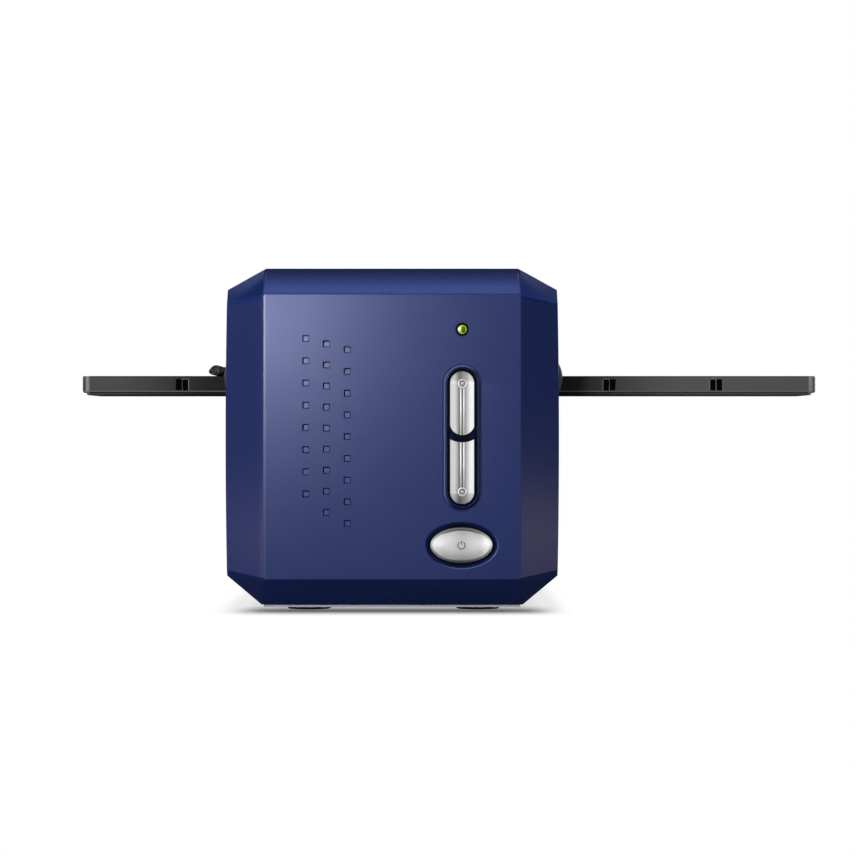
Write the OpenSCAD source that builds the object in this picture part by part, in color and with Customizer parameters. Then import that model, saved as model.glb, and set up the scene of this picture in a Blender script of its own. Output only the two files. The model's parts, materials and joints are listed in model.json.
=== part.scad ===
// Desktop scanner for 35 mm film strips and slides.
// Millimetres. Origin on the desk under the middle of the body, +Z up, front face towards -Y.

/* [Body] */
// Width of the body over its flat sides
body_w = 114.4; // [112:0.1:124]
// Depth of the body, front face to back face
body_d = 272; // [268:1:290]
// Height of the flat top above the desk
body_top = 119; // [117:0.5:130]
// Height of the blue shell's underside above the desk
body_base = 3.7; // [3.2:0.1:4.5]
// Wall thickness of the moulded shells
wall = 2.5; // [2:0.1:2.8]
// Depth of the front and rear covers along the body
cover_depth = 19; // [17:0.5:22]
// Thickness of the tongues that locate the covers in the casing
tongue = 1.4; // [1:0.1:1.8]
// Length that each tongue reaches into the casing
tongue_l = 4; // [3:0.5:5]

/* [Bevels] */
// Width of each side bevel beside the front face
side_bevel_w = 13.2; // [10:0.1:15]
// Depth of each side bevel behind the front face
side_bevel_d = 13.3; // [10:0.1:15]
// Height of the bevel above the front face
top_bevel_h = 9; // [6:0.1:11]
// Height of the bevel below the front face
bottom_bevel_h = 8.9; // [6:0.1:11]
// Depth of the top and bottom bevels
level_bevel_d = 8; // [6:0.1:11]
// Width of the cut along each top edge
top_cut_w = 14; // [10:0.1:16]
// Height of the cut along each top edge
top_cut_h = 7; // [5:0.1:9]
// Width of the cut along each bottom edge
bottom_cut_w = 12.4; // [10:0.1:13]
// Height of the cut along each bottom edge
bottom_cut_h = 9.7; // [7:0.1:11]
// Distance that each corner facet runs down or up past the front face
corner_run = 2.7; // [1.5:0.1:4]
// Bevel round the back face
rear_bevel = 6; // [4:0.5:8]

/* [Base] */
// Thickness of the base plate's lip below the shell
plate_lip = 0.9; // [0.7:0.1:1.2]
// Distance from the flat underside's edges to the base plate's lip
plate_side = 0.8; // [0.4:0.1:1.4]
// Distance from the front and back faces to the base plate's lip
plate_inset = 9.5; // [9:0.5:11]
// Radius of a rubber foot
foot_r = 8; // [6:0.5:9]
// Radius of a foot's peg
foot_peg_r = 2.5; // [2:0.1:3]
// Distance from the base plate's sides to the middles of the feet
foot_in = 14; // [12:1:18]
// Distance from the front face to the front feet
front_foot_back = 61; // [57:1:66]
// Distance from the back face to the rear feet
rear_foot_in = 37; // [30:1:44]

/* [Film holder] */
// Length of the film holder
holder_l = 260; // [250:1:280]
// Width of the film holder
holder_w = 62; // [60:0.5:64]
// Thickness of the film holder
holder_h = 6.8; // [6.4:0.1:7.4]
// Height of the film holder's underside above the desk
holder_z = 76; // [75:0.5:78]
// Distance from the front face to the film holder's middle line
holder_back = 90; // [88:1:92]
// Thickness of the sliding runner under the holder
runner_h = 0.8; // [0.6:0.1:1]
// Distance that the runner stops short of the holder's edges
runner_inset = 1.5; // [1:0.1:2]
// Thickness of the holder's lid
lid_h = 2.4; // [2:0.1:2.8]
// Distance from the holder's sides to the lid
lid_side = 4; // [3.5:0.1:5]
// Distance from the holder's ends to the lid
lid_end = 9; // [8:0.5:12]
// Distance between frames on the film
frame_pitch = 38; // [37.5:0.1:38.5]
// Frame windows in the holder
frame_count = 6; // [4:1:6]
// Width of a frame window
window_w = 36; // [34:0.5:36.5]
// Height of a frame window
window_h = 24; // [22:0.5:25]
// Width of a notch in the holder's front edge
notch_w = 2; // [1.6:0.1:2.4]
// Height of a notch in the holder's front edge
notch_h = 4; // [3:0.1:4.5]

/* [Slots] */
// Height of a slot bezel
bezel_h = 14.5; // [14:0.1:16]
// Distance that a slot bezel bulges out of the side
bezel_bulge = 2.8; // [2:0.1:3.4]
// Thickness of a bezel's lips below and above its mouth
bezel_lip = 0.9; // [0.7:0.1:1.1]
// Length of a bezel past each end of its mouth
bezel_end = 6.5; // [5:0.5:8]
// Thickness of the flange that holds a bezel in the wall
bezel_flange = 1.5; // [1:0.1:2]
// Thickness of a dust flap
flap_t = 1.2; // [1:0.1:1.4]
// Length of a dust flap from its pin to its tip bead
flap_l = 8.9; // [8:0.1:9.5]
// Radius of a dust flap's tip bead
flap_bead_r = 0.9; // [0.7:0.1:1]
// Radius of a dust flap's barrel
flap_barrel_r = 1.4; // [1.3:0.1:1.5]
// Radius of a dust flap's pin
flap_pin_r = 0.75; // [0.6:0.05:0.9]

/* [Controls] */
// Distance of the buttons from the body's middle plane
control_x = 24; // [20:0.5:27]
// Width of the two scan buttons
button_w = 8.5; // [7.5:0.1:9.5]
// Height of the lower scan button's bottom end
button_low = 38.3; // [37:0.1:40]
// Length of the lower scan button at its corners
lower_button_l = 22.2; // [21:0.1:22.5]
// Distance from the upper scan button's top to the status light
light_gap = 14.2; // [12:0.1:17]
// Space between the two scan buttons at their middle
button_space = 2.6; // [2.2:0.1:3.2]
// Depth of the recess round the scan buttons
recess_d = 1.2; // [0.8:0.1:1.5]
// Width of the recess floor and slope round the scan buttons
recess_w = 2.3; // [1.8:0.1:2.6]
// Width of the power button
power_w = 21.2; // [18:0.1:23]
// Height of the power button
power_h = 12.1; // [10:0.1:13]
// Height of the power button's middle above the desk
power_z = 24.3; // [23.5:0.1:25.5]
// Distance that the buttons travel when pressed
button_travel = 0.8; // [0.5:0.1:1]
// Radius of the status light's lens
light_r = 1.75; // [1.5:0.05:2]
// Radius of the hole round the status light
light_hole_r = 2.15; // [2.1:0.05:2.4]
// Distance from the flat top down to the status light
light_down = 21.1; // [19:0.1:24]
// Side of the small decorative squares
square_w = 2.3; // [1.8:0.1:2.6]
// Depth of the small decorative squares
square_d = 0.6; // [0.4:0.1:0.8]

/* [Scan mechanism] */
// Travel of the optical carriage
scan_travel = 28; // [26:1:30]
// Radius of the guide rods
rod_r = 3; // [2.5:0.1:3.5]
// Distance from the chassis's sides to the guide rods
rod_in = 8.5; // [8:0.5:9.5]
// Height of the guide rods above the desk
rod_z = 24; // [23:0.5:26]
// Radius of the guide bushes
bush_r = 4.6; // [4.4:0.1:5]
// Length of the guide bushes
bush_l = 10; // [8:0.5:14]
// Height of the optical axis above the desk
optics_z = 44; // [43:0.5:46]
// Gap from the optical box's sides to the bush housings
box_side_gap = 1.5; // [1:0.1:2.5]
// Height of the optical box above the optical axis
box_over = 16; // [15:0.5:20]
// Wall thickness of the optical box
box_wall = 2.5; // [2:0.1:3]
// Gap from the optical box's side walls to the mirror
mirror_side = 4; // [3:0.5:5]
// Height of the mirror along its slope
mirror_l = 30; // [26:0.5:32]
// Thickness of the mirror
mirror_t = 2; // [1.5:0.1:3]
// Radius of the lens barrel
lens_r = 11; // [9:0.5:12]
// Length of the lens barrel
lens_l = 24; // [20:1:28]
// Radius of the lens glasses
glass_r = 9; // [7:0.5:9.5]
// Thickness of the lamp bracket
arm_t = 4; // [3:0.5:5]
// Height of the lamp bar
lamp_h = 4.3; // [3.5:0.1:6]

/* [Drive] */
// Thickness of the sheet-metal chassis
sheet = 1.5; // [1.2:0.1:2]
// Gap from the base plate to the chassis
chassis_gap = 3; // [2.5:0.5:4]
// Distance from the body's flat sides to the chassis
chassis_in = 12.7; // [12.4:0.1:13.2]
// Pitch radius of the belt pulleys
pulley_r = 6; // [5.5:0.1:7]
// Thickness of the timing belt
belt_t = 1.2; // [1:0.1:1.4]
// Width of the timing belt
belt_w = 4; // [3:0.5:4.5]
// Distance from the front face to the idler pulley
idler_back = 42; // [41:1:44]
// Distance from the back face to the drive pulley
drive_in = 46; // [45:1:47]
// Tooth module of the gears
gear_module = 0.8; // [0.7:0.05:0.9]
// Teeth on the motor pinion
pinion_teeth = 12; // [10:1:14]
// Teeth on the drive gear
gear_teeth = 36; // [34:2:38]
// Thickness of the gears
gear_t = 4; // [3:0.5:4.5]
// Radius of the stepper motor
motor_r = 17.5; // [16:0.5:17.5]
// Height of the stepper motor
motor_h = 20; // [18:1:26]
// Radius of the fixed axles
axle_r = 2; // [1.5:0.1:2.2]

/* [Electronics] */
// Thickness of the circuit boards
board_t = 1.6; // [1.2:0.1:2]
// Distance of the power inlet from the middle plane, seen from the front
inlet_x = 27; // [22:0.5:28]
// Distance of the data socket from the middle plane, seen from the front
data_x = 3; // [0:0.5:6]
// Height of both sockets above the desk
socket_z = 26; // [24:0.5:30]
// Radius of the power inlet's centre pin
inlet_pin_r = 1; // [0.8:0.05:1.2]
// Radius of the power inlet's hole
inlet_hole_r = 3; // [2.8:0.05:3.2]

/* [Clearances] */
// Gap round fixed pieces in their openings
fit_gap = 0.1; // [0.05:0.05:0.2]
// Radial gap of fixed round pieces in their bores
seat_gap = 0.03; // [0.02:0.01:0.05]
// Radial gap of turning and sliding shafts
run_gap = 0.05; // [0.03:0.01:0.08]
// Gap between moving pieces
move_gap = 0.3; // [0.25:0.05:0.4]
// Gap round the buttons
button_gap = 0.5; // [0.4:0.05:0.6]

/* [Hidden] */
$fn = 64;

// Body planes
side_x = body_w / 2;
front_y = -body_d / 2;
rear_y = body_d / 2;
front_split = front_y + cover_depth;
rear_split = rear_y - cover_depth;
face_x = side_x - side_bevel_w;
face_top = body_top - top_bevel_h;
face_bottom = body_base + bottom_bevel_h;
inner_x = side_x - wall;
face_in = front_y + wall;
beyond = body_d;
// Distance by which a corner facet clips the corners that it runs through
facet_step = 0.3;

// Planes that cut the body's block, each as a point and an outward direction
function unit(v) = v / norm(v);
function facing(point, direction) = [point, unit(direction)];
function facet(a, b, c, outward) = let (n = unit(cross(b - a, c - a))) [a, n * outward > 0 ? n : -n];
front_cuts = [
    facing([0, front_y, face_top], [0, -top_bevel_h, level_bevel_d]),
    facing([0, front_y, face_bottom], [0, -bottom_bevel_h, -level_bevel_d]),
    for (s = [-1, 1]) facing([s * face_x, front_y, 0], [s * side_bevel_d, -side_bevel_w, 0]),
    for (s = [-1, 1]) facet(
        [s * (face_x - facet_step), front_y, face_top],
        [s * (side_x - top_cut_w), front_y + level_bevel_d + facet_step, body_top],
        [s * side_x, front_y + side_bevel_d, face_top - corner_run],
        [s, -1, 1]
    ),
    for (s = [-1, 1]) facet(
        [s * (face_x - facet_step), front_y, face_bottom],
        [s * (side_x - bottom_cut_w), front_y + level_bevel_d + facet_step, body_base],
        [s * side_x, front_y + side_bevel_d, face_bottom + corner_run],
        [s, -1, -1]
    ),
];
edge_cuts = [
    for (s = [-1, 1])
        facing([s * (side_x - top_cut_w), 0, body_top], [s * top_cut_h, 0, top_cut_w]),
    for (s = [-1, 1])
        facing([s * (side_x - bottom_cut_w), 0, body_base], [s * bottom_cut_h, 0, -bottom_cut_w]),
];
rear_cuts = [
    facing([0, rear_y, body_top - rear_bevel], [0, 1, 1]),
    facing([0, rear_y, body_base + rear_bevel], [0, 1, -1]),
    for (s = [-1, 1]) facing([s * (side_x - rear_bevel), rear_y, 0], [s, 1, 0]),
];

// Base
plate_bottom = body_base - plate_lip;
floor_top = body_base + wall;
plate_half_w = side_x - bottom_cut_w - plate_side;
base_open_x = plate_half_w - 5;
base_open_front = front_split + tongue_l + 1;
base_open_rear = rear_split - tongue_l - 1;
foot_x = plate_half_w - foot_in;
front_foot_y = front_y + front_foot_back;
rear_foot_y = rear_y - rear_foot_in;
foot_taper = 1;
screw_r = 1.5;
screw_head_r = 2.8;
screw_head_h = 1.5;
base_screw_side_x = (base_open_x + plate_half_w) / 2;
base_screw_in = 52;
base_screws_at = [
    for (s = [-1, 1]) [s * foot_x, front_split - 5],
    for (s = [-1, 1]) [s * foot_x, rear_split + 5],
    for (s = [-1, 1], y = [base_open_front + base_screw_in, base_open_rear - base_screw_in])
        [s * base_screw_side_x, y],
];

// Film holder
holder_y = front_y + holder_back;
holder_top = holder_z + holder_h;
holder_rear = holder_y + holder_w / 2;
holder_rest = frame_pitch / 2;
frames = [for (i = [0 : frame_count - 1]) (i - (frame_count - 1) / 2) * frame_pitch];
corner_r = 3;
notch_d = 1.2;
notch_gap = 2.2;
detent_r = 1.8;
lid_pin_r = 0.8;
lid_pin_z = holder_top - lid_h / 2;
lid_pin_l = 6;

// Slots
mouth_half_l = holder_w / 2 + 0.5;
mouth_low = holder_z - 0.5;
bezel_low = mouth_low - bezel_lip;
bezel_high = bezel_low + bezel_h;
mouth_high = bezel_high - bezel_lip;
bezel_half_l = mouth_half_l + bezel_end;
bezel_arc_r = (bezel_h * bezel_h / 4 + bezel_bulge * bezel_bulge) / (2 * bezel_bulge);
bezel_margin = 2;
flap_half_l = mouth_half_l - move_gap;
flap_pin_x = side_x - 0.7;
flap_pin_z = mouth_high - flap_barrel_r - move_gap - 0.1;
flap_pin_reach = 2.5;
flap_drop = asin((flap_pin_z - flap_bead_r - holder_top - move_gap) / flap_l);

// Controls
light_z = body_top - light_down;
button_r = button_w / 2;
lower_button_top = button_low + lower_button_l;
upper_button_low = lower_button_top - 1.2 + button_space;
upper_button_top = light_z - light_gap;
lower_dip_r = 8.6;
button_front = front_y;
flange_t = 1.2;
flange_out = 1.4;
stem_r = 1.5;
stem_end = face_in + 5;
switch_w = 6;
plunger_r = 1.6;
plunger_in = 0.8;
plunger_out = button_travel + 1.5;
switch_bore = plunger_in + button_travel + 0.7;
switch_h = switch_bore + 1.2;
switch_front = stem_end + plunger_out;
button_board_y = switch_front + switch_h;
board_half_w = 12;
board_low = power_z - 8;
board_high = light_z + 6;
boss_r = 2.5;
boss_x = 9;
boss_low = power_z + power_h / 2 + 5;
boss_high = light_z - 5;
upper_switch_z = (upper_button_low + upper_button_top) / 2;
lower_switch_z = (button_low + lower_button_top) / 2;
lens_flange_r = 3.2;
lens_flange_t = 1;
led_r = 1.5;

// Small squares in three columns: distance from the middle, drop of the first below the top, count, step
square_columns = [[-29.4, 24.2, 8, 7.57], [-22.4, 26, 9, 7.18], [-15.3, 28, 9, 7.41]];

// Chassis
chassis_half_w = side_x - chassis_in;
chassis_z = floor_top + chassis_gap;
chassis_top = chassis_z + sheet;
chassis_front = front_y + 30;
chassis_rear = rear_y - 24;
rod_x = chassis_half_w - rod_in;
rod_wall_top = rod_z + 10;
drive_y = rear_y - drive_in;
middle_wall_y = drive_y - motor_r - 2.5;
board_wall_top = 72;
rod_l = middle_wall_y + sheet - chassis_front;
post_r = 4;
post_x = base_open_x - post_r - 1;
post_front_y = chassis_front + 8;
post_rear_y = middle_wall_y - 10;
posts_at = [for (s = [-1, 1], y = [post_front_y, post_rear_y]) [s * post_x, y]];

// Film gate
web_t = 2.5;
gate_lip = 2.3;
gate_lip_reach = 4;
rail_half_l = chassis_half_w;
upper_lip_half_l = rail_half_l - 4.5;
gate_top = holder_z - move_gap - gate_lip;
bracket_half_l = holder_w / 2 + move_gap + web_t;
bracket_foot = 5;
detent_hole_half_w = 4;
spring_t = 0.4;
spring_w = 4.4;
spring_half_l = 16;

// Optical carriage, at the rear end of its travel
slit_y = holder_y + scan_travel / 2;
bush_wall = 1.4;
belt_z = chassis_top + 1.7;
belt_top = belt_z + belt_w;
box_half_w = rod_x - bush_r - bush_wall - box_side_gap;
box_front = slit_y - 22;
box_rear = middle_wall_y - 10;
box_low = belt_top + 1.6;
box_top = optics_z + box_over;
mirror_w = 2 * (box_half_w - box_wall - mirror_side);
lens_front = slit_y + 26;
cradle_front = lens_front + 7;
cradle_rear = lens_front + 17;
spine_front = holder_rear + move_gap + web_t + spring_t + scan_travel + 1.5;
arm_front = slit_y - 8;
lamp_half_w = window_w / 2 + 4;
lamp_half_d = 5;
lamp_low = holder_top + gate_lip + move_gap + 1.3;
diffuser_t = 1;
arm_half_w = lamp_half_w + 2;
arm_low = lamp_low + diffuser_t + lamp_h;
arm_top = arm_low + arm_t;
bracket_foot_l = 12;
slit_half_w = window_w / 2 + 2;
sensor_half_w = 20;
sensor_half_h = 5;
glass_t = 3;
sensor_board_low = optics_z - 15;
sensor_board_high = box_top;
sensor_board_half_w = box_half_w - 1.5;
bush_ys = [box_front + 8, box_rear - 14];

// Drive
idler_y = front_y + idler_back;
flange_r = pulley_r + 1.5;
pulley_base = chassis_top + 0.8;
gear_z = belt_top + 1.1;
gear_top = gear_z + gear_t;
backlash = 0.2;
gear_spacing = gear_module * (pinion_teeth + gear_teeth) / 2 + backlash / 2;
motor_x = gear_spacing;
motor_plate_z = gear_top + 2.5;
motor_z = motor_plate_z + sheet;
motor_boss_r = 6;
motor_shaft_r = 1.5;
axle_top = gear_top + 1.2;
clamp_y = slit_y + 20;
clamp_half_l = 6;

// Main board and sockets
standoff_l = 6;
main_board_y = chassis_rear + standoff_l;
main_board_back = main_board_y + board_t;
main_board_half_w = chassis_half_w - 2.5;
board_screw_x = main_board_half_w - 5;
board_window_half_w = main_board_half_w - 12;
main_board_low = socket_z - 12;
main_board_high = board_wall_top - 2;
socket_end = rear_y - 0.6;
inlet_half_w = 4.5;
inlet_half_h = 5.5;
inlet_depth = 9.5;
inlet_pin_l = 9;
data_half_w = 6;
data_half_h = 5.5;
data_mouth_half_w = 4.2;
data_mouth_half_h = 3.9;
data_depth = 9;
data_tongue_half_w = 2.8;
data_tongue_half_h = 1.6;
board_screws_at = [for (s = [-1, 1], z = [main_board_low + 5, main_board_high - 5]) [s * board_screw_x, z]];
front_screws_at = [for (s = [-1, 1], z = [boss_low, boss_high]) [control_x + s * boss_x, z]];

// Flat cable between the moving sensor board and the main board
cable_half_w = 8;
ribbon_w = 10;
cable_t = 0.4;
plug_h = 5;
plug_d = 4;
cable_start_y = box_rear + board_t + plug_d / 2;
cable_end_y = main_board_y - plug_d / 2;
cable_low = box_top - 2;
cable_bend_r = (cable_end_y - cable_start_y) / 2;
cable_bend_z = body_top - wall - cable_bend_r - 6;

// Shapes used more than once
module block(low, high) {
    translate(low) cube(high - low);
}

module along_x(x, y, z, r, l) {
    translate([x, y, z]) rotate([0, 90, 0]) cylinder(r = r, h = l);
}

module along_y(x, y, z, r, l) {
    translate([x, y, z]) rotate([-90, 0, 0]) cylinder(r = r, h = l);
}

module upright(x, y, z, r, l) {
    translate([x, y, z]) cylinder(r = r, h = l);
}

// Everything on the outer side of a plane
module outside(cut, inset) {
    n = cut[1];
    translate(cut[0] - inset * n)
        rotate([0, acos(n.z), atan2(n.y, n.x)])
            translate([-beyond, -beyond, 0]) cube([2 * beyond, 2 * beyond, beyond]);
}

// The body's outer form, moved inwards by an inset
module body_form(inset) {
    difference() {
        block(
            [-side_x + inset, front_y + inset, body_base + inset],
            [side_x - inset, rear_y - inset, body_top - inset]
        );
        for (cut = concat(front_cuts, edge_cuts, rear_cuts)) outside(cut, inset);
    }
}

// A wall of the body between two insets and two depths
module body_ring(outer, inner, from_y, to_y) {
    intersection() {
        difference() {
            body_form(outer);
            body_form(inner);
        }
        block([-side_x - 1, from_y, 0], [side_x + 1, to_y, body_top + 1]);
    }
}

// A cover's tongue, fused to the cover and free of the casing
module cover_tongue(split, way) {
    ends = [split, split - way * tongue_l];
    body_ring(wall - 0.5, wall + fit_gap + tongue, min(ends), max(ends));
    reach = [split - way * 0.5, split + way * tongue_l];
    body_ring(wall + fit_gap, wall + fit_gap + tongue, min(reach), max(reach));
}

module at_points(points) {
    for (p = points) translate([p.x, p.y, 0]) children();
}

// An upright slab with round top and bottom ends, for the scan buttons and their openings
module pill(x, low, high, r, y0, y1) {
    along_y(x, y0, low + r, r, y1 - y0);
    along_y(x, y0, high - r, r, y1 - y0);
    block([x - r, y0, low + r], [x + r, y1, high - r]);
}

// The lower scan button's outline, with a hollow top that follows the upper button
module hollow_pill(grow, y0, y1) {
    difference() {
        union() {
            along_y(control_x, y0, button_low + button_r, button_r + grow, y1 - y0);
            block(
                [control_x - button_r - grow, y0, button_low + button_r],
                [control_x + button_r + grow, y1, lower_button_top + grow]
            );
        }
        along_y(control_x, y0 - 1, lower_button_top + hollow_rise, lower_dip_r - grow, y1 - y0 + 2);
    }
}
hollow_rise = sqrt(lower_dip_r * lower_dip_r - button_r * button_r);

// An upright oval slab
module oval(half_w, half_h, y0, y1) {
    steps = 60;
    outline = [
        for (i = [0 : steps - 1]) [half_w * cos(360 * i / steps), half_h * sin(360 * i / steps)]
    ];
    translate([control_x, y1, power_z]) rotate([90, 0, 0]) linear_extrude(y1 - y0) polygon(outline);
}

// A flat plate with round corners, lying level about the origin
module round_plate(half_l, half_w, r, z0, z1) {
    block([-half_l + r, -half_w, z0], [half_l - r, half_w, z1]);
    block([-half_l, -half_w + r, z0], [half_l, half_w - r, z1]);
    for (sx = [-1, 1], sy = [-1, 1]) upright(sx * (half_l - r), sy * (half_w - r), z0, r, z1 - z0);
}

module at_holder() {
    translate([holder_rest, holder_y, 0]) children();
}

// Outer shells
module front_cover() {
    color("midnightblue") difference() {
        union() {
            body_ring(0, wall, front_y, front_split);
            cover_tongue(front_split, 1);
            for (p = front_screws_at)
                along_y(p.x, face_in - 0.5, p.y, boss_r, button_board_y - face_in + 0.5);
        }
        scan_recess();
        hollow_pill(button_gap, front_y - 1, face_in + 1);
        pill(control_x, upper_button_low - button_gap, upper_button_top + button_gap,
            button_r + button_gap, front_y - 1, face_in + 1);
        oval(power_w / 2 + 1.6, power_h / 2 + 1.6, front_y - 1, front_y + recess_d);
        oval(power_w / 2 + button_gap, power_h / 2 + button_gap, front_y - 1, face_in + 1);
        along_y(control_x, front_y - 1, light_z, light_hole_r, wall + 2);
        for (column = square_columns, i = [0 : column[2] - 1])
            translate([column[0], front_y, body_top - column[1] - i * column[3]])
                cube([square_w, 2 * square_d, square_w], center = true);
        for (p = front_screws_at) along_y(p.x, button_board_y - 6, p.y, screw_r + seat_gap, 8);
        at_points(base_screws_at) upright(0, 0, body_base - 1, screw_r + seat_gap, wall + tongue + 3);
    }
}

module scan_recess() {
    pill(control_x, button_low - recess_w, upper_button_top + recess_w, button_r + recess_w,
        front_y - 1, front_y + recess_d);
}

module casing() {
    color("darkslateblue") difference() {
        body_ring(0, wall, front_split, rear_split);
        block([-base_open_x, base_open_front, 0], [base_open_x, base_open_rear, floor_top + 1]);
        for (s = [-1, 1]) block(
            [s > 0 ? inner_x - 1 : -side_x - 1, holder_y - bezel_half_l - fit_gap, bezel_low - fit_gap],
            [s > 0 ? side_x + 1 : -inner_x + 1, holder_y + bezel_half_l + fit_gap, bezel_high + fit_gap]
        );
        at_points(base_screws_at) upright(0, 0, body_base - 1, screw_r + seat_gap, wall + 2);
    }
}

module rear_cover() {
    color("midnightblue") difference() {
        union() {
            body_ring(0, wall, rear_split, rear_y);
            cover_tongue(rear_split, -1);
        }
        socket_opening(inlet_x, inlet_half_w, inlet_half_h);
        socket_opening(data_x, data_half_w, data_half_h);
        at_points(base_screws_at) upright(0, 0, body_base - 1, screw_r + seat_gap, wall + tongue + 3);
    }
}

module socket_opening(x, half_w, half_h) {
    g = fit_gap + 0.1;
    block(
        [x - half_w - g, rear_y - wall - 1, socket_z - half_h - g],
        [x + half_w + g, rear_y + 1, socket_z + half_h + g]
    );
}

module bottom_cover() {
    color("lightsteelblue") difference() {
        union() {
            block(
                [-plate_half_w, front_y + plate_inset, plate_bottom],
                [plate_half_w, rear_y - plate_inset, body_base]
            );
            block(
                [-base_open_x + fit_gap, base_open_front + fit_gap, body_base],
                [base_open_x - fit_gap, base_open_rear - fit_gap, floor_top]
            );
            at_points(posts_at) upright(0, 0, floor_top, post_r, chassis_gap);
        }
        at_points(posts_at) upright(0, 0, plate_bottom + 1, screw_r + seat_gap, chassis_z);
        at_points(base_screws_at) upright(0, 0, plate_bottom - 1, screw_r + fit_gap, plate_lip + 2);
        for (s = [-1, 1], y = [front_foot_y, rear_foot_y])
            upright(s * foot_x, y, plate_bottom - 1, foot_peg_r + seat_gap, floor_top + 2);
    }
}

module foot(s, y) {
    color("black") {
        upright(s * foot_x, y, 0.8, foot_r, plate_bottom - 0.8);
        translate([s * foot_x, y, 0]) cylinder(r1 = foot_r - foot_taper, r2 = foot_r, h = 0.8);
        upright(s * foot_x, y, plate_bottom - 0.5, foot_peg_r, floor_top - plate_bottom + 0.5);
    }
}

// Film slots and their dust flaps
module slot_bezel(s) {
    color("dimgray") difference() {
        union() {
            block(
                [s > 0 ? inner_x - bezel_flange : -side_x, holder_y - bezel_half_l, bezel_low],
                [s > 0 ? side_x : -inner_x + bezel_flange, holder_y + bezel_half_l, bezel_high]
            );
            block(
                [s > 0 ? inner_x - bezel_flange : -inner_x, holder_y - bezel_half_l - bezel_margin,
                    bezel_low - bezel_margin],
                [s > 0 ? inner_x : -inner_x + bezel_flange, holder_y + bezel_half_l + bezel_margin,
                    bezel_high + bezel_margin]
            );
            intersection() {
                along_y(s * (side_x + bezel_bulge - bezel_arc_r), holder_y - bezel_half_l,
                    (bezel_low + bezel_high) / 2, bezel_arc_r, 2 * bezel_half_l);
                block(
                    [s > 0 ? side_x - 0.5 : -side_x - 5, holder_y - bezel_half_l, bezel_low],
                    [s > 0 ? side_x + 5 : -side_x + 0.5, holder_y + bezel_half_l, bezel_high]
                );
            }
        }
        block(
            [s > 0 ? inner_x - 5 : -side_x - 5, holder_y - mouth_half_l, mouth_low],
            [s > 0 ? side_x + 5 : -inner_x + 5, holder_y + mouth_half_l, mouth_high]
        );
        along_y(s * flap_pin_x, holder_y - mouth_half_l - flap_pin_reach - fit_gap, flap_pin_z,
            flap_pin_r + seat_gap, 2 * (mouth_half_l + flap_pin_reach + fit_gap));
    }
}

module dust_flap(s) {
    color("black") translate([s * flap_pin_x, holder_y, flap_pin_z]) rotate([0, -flap_drop, 0]) difference() {
        union() {
            along_y(0, -flap_half_l, 0, flap_barrel_r, 2 * flap_half_l);
            block([-flap_l, -flap_half_l, -flap_t / 2], [0, flap_half_l, flap_t / 2]);
            along_y(-flap_l, -flap_half_l, 0, flap_bead_r, 2 * flap_half_l);
        }
        along_y(0, -flap_half_l - 1, 0, flap_pin_r + run_gap, 2 * flap_half_l + 2);
    }
}

module flap_pins() {
    color("silver") for (s = [-1, 1])
        along_y(s * flap_pin_x, holder_y - mouth_half_l - flap_pin_reach, flap_pin_z,
            flap_pin_r, 2 * (mouth_half_l + flap_pin_reach));
}

// Controls
module button_flange(low, high) {
    block(
        [control_x - button_r - flange_out, face_in, low],
        [control_x + button_r + flange_out, face_in + flange_t, high]
    );
}

module upper_scan_button() {
    color("silver") {
        pill(control_x, upper_button_low, upper_button_top, button_r, button_front, face_in + flange_t);
        button_flange(upper_button_low + button_r, upper_button_top - button_r);
        along_y(control_x, face_in, upper_switch_z, stem_r, stem_end - face_in);
    }
}

module lower_scan_button() {
    color("silver") {
        hollow_pill(0, button_front, face_in + flange_t);
        button_flange(button_low + button_r, lower_button_top - button_r);
        along_y(control_x, face_in, lower_switch_z, stem_r, stem_end - face_in);
    }
}

module power_button() {
    color("silver") {
        oval(power_w / 2, power_h / 2, button_front, face_in + flange_t);
        oval(power_w / 2 + flange_out, power_h / 2 + flange_out, face_in, face_in + flange_t);
        along_y(control_x, face_in, power_z, stem_r, stem_end - face_in);
    }
}

module switch_plunger(z) {
    color("black") along_y(control_x, stem_end, z, plunger_r, plunger_out + plunger_in);
}

module switch_housings() {
    color("gray") for (z = [upper_switch_z, lower_switch_z, power_z]) difference() {
        block(
            [control_x - switch_w / 2, switch_front, z - switch_w / 2],
            [control_x + switch_w / 2, button_board_y, z + switch_w / 2]
        );
        along_y(control_x, switch_front - 1, z, plunger_r + run_gap, switch_bore + 1);
    }
}

module button_board() {
    color("darkgreen") difference() {
        block(
            [control_x - board_half_w, button_board_y, board_low],
            [control_x + board_half_w, button_board_y + board_t, board_high]
        );
        for (p = front_screws_at) along_y(p.x, button_board_y - 1, p.y, screw_r + fit_gap, board_t + 2);
    }
}

module status_lens() {
    color("greenyellow") {
        along_y(control_x, front_y - 0.3, light_z, light_r, wall + 1.3);
        along_y(control_x, face_in, light_z, lens_flange_r, lens_flange_t);
    }
}

module status_led() {
    color("yellowgreen")
        along_y(control_x, face_in + lens_flange_t + move_gap, light_z, led_r,
            button_board_y - face_in - lens_flange_t - move_gap);
}

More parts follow.
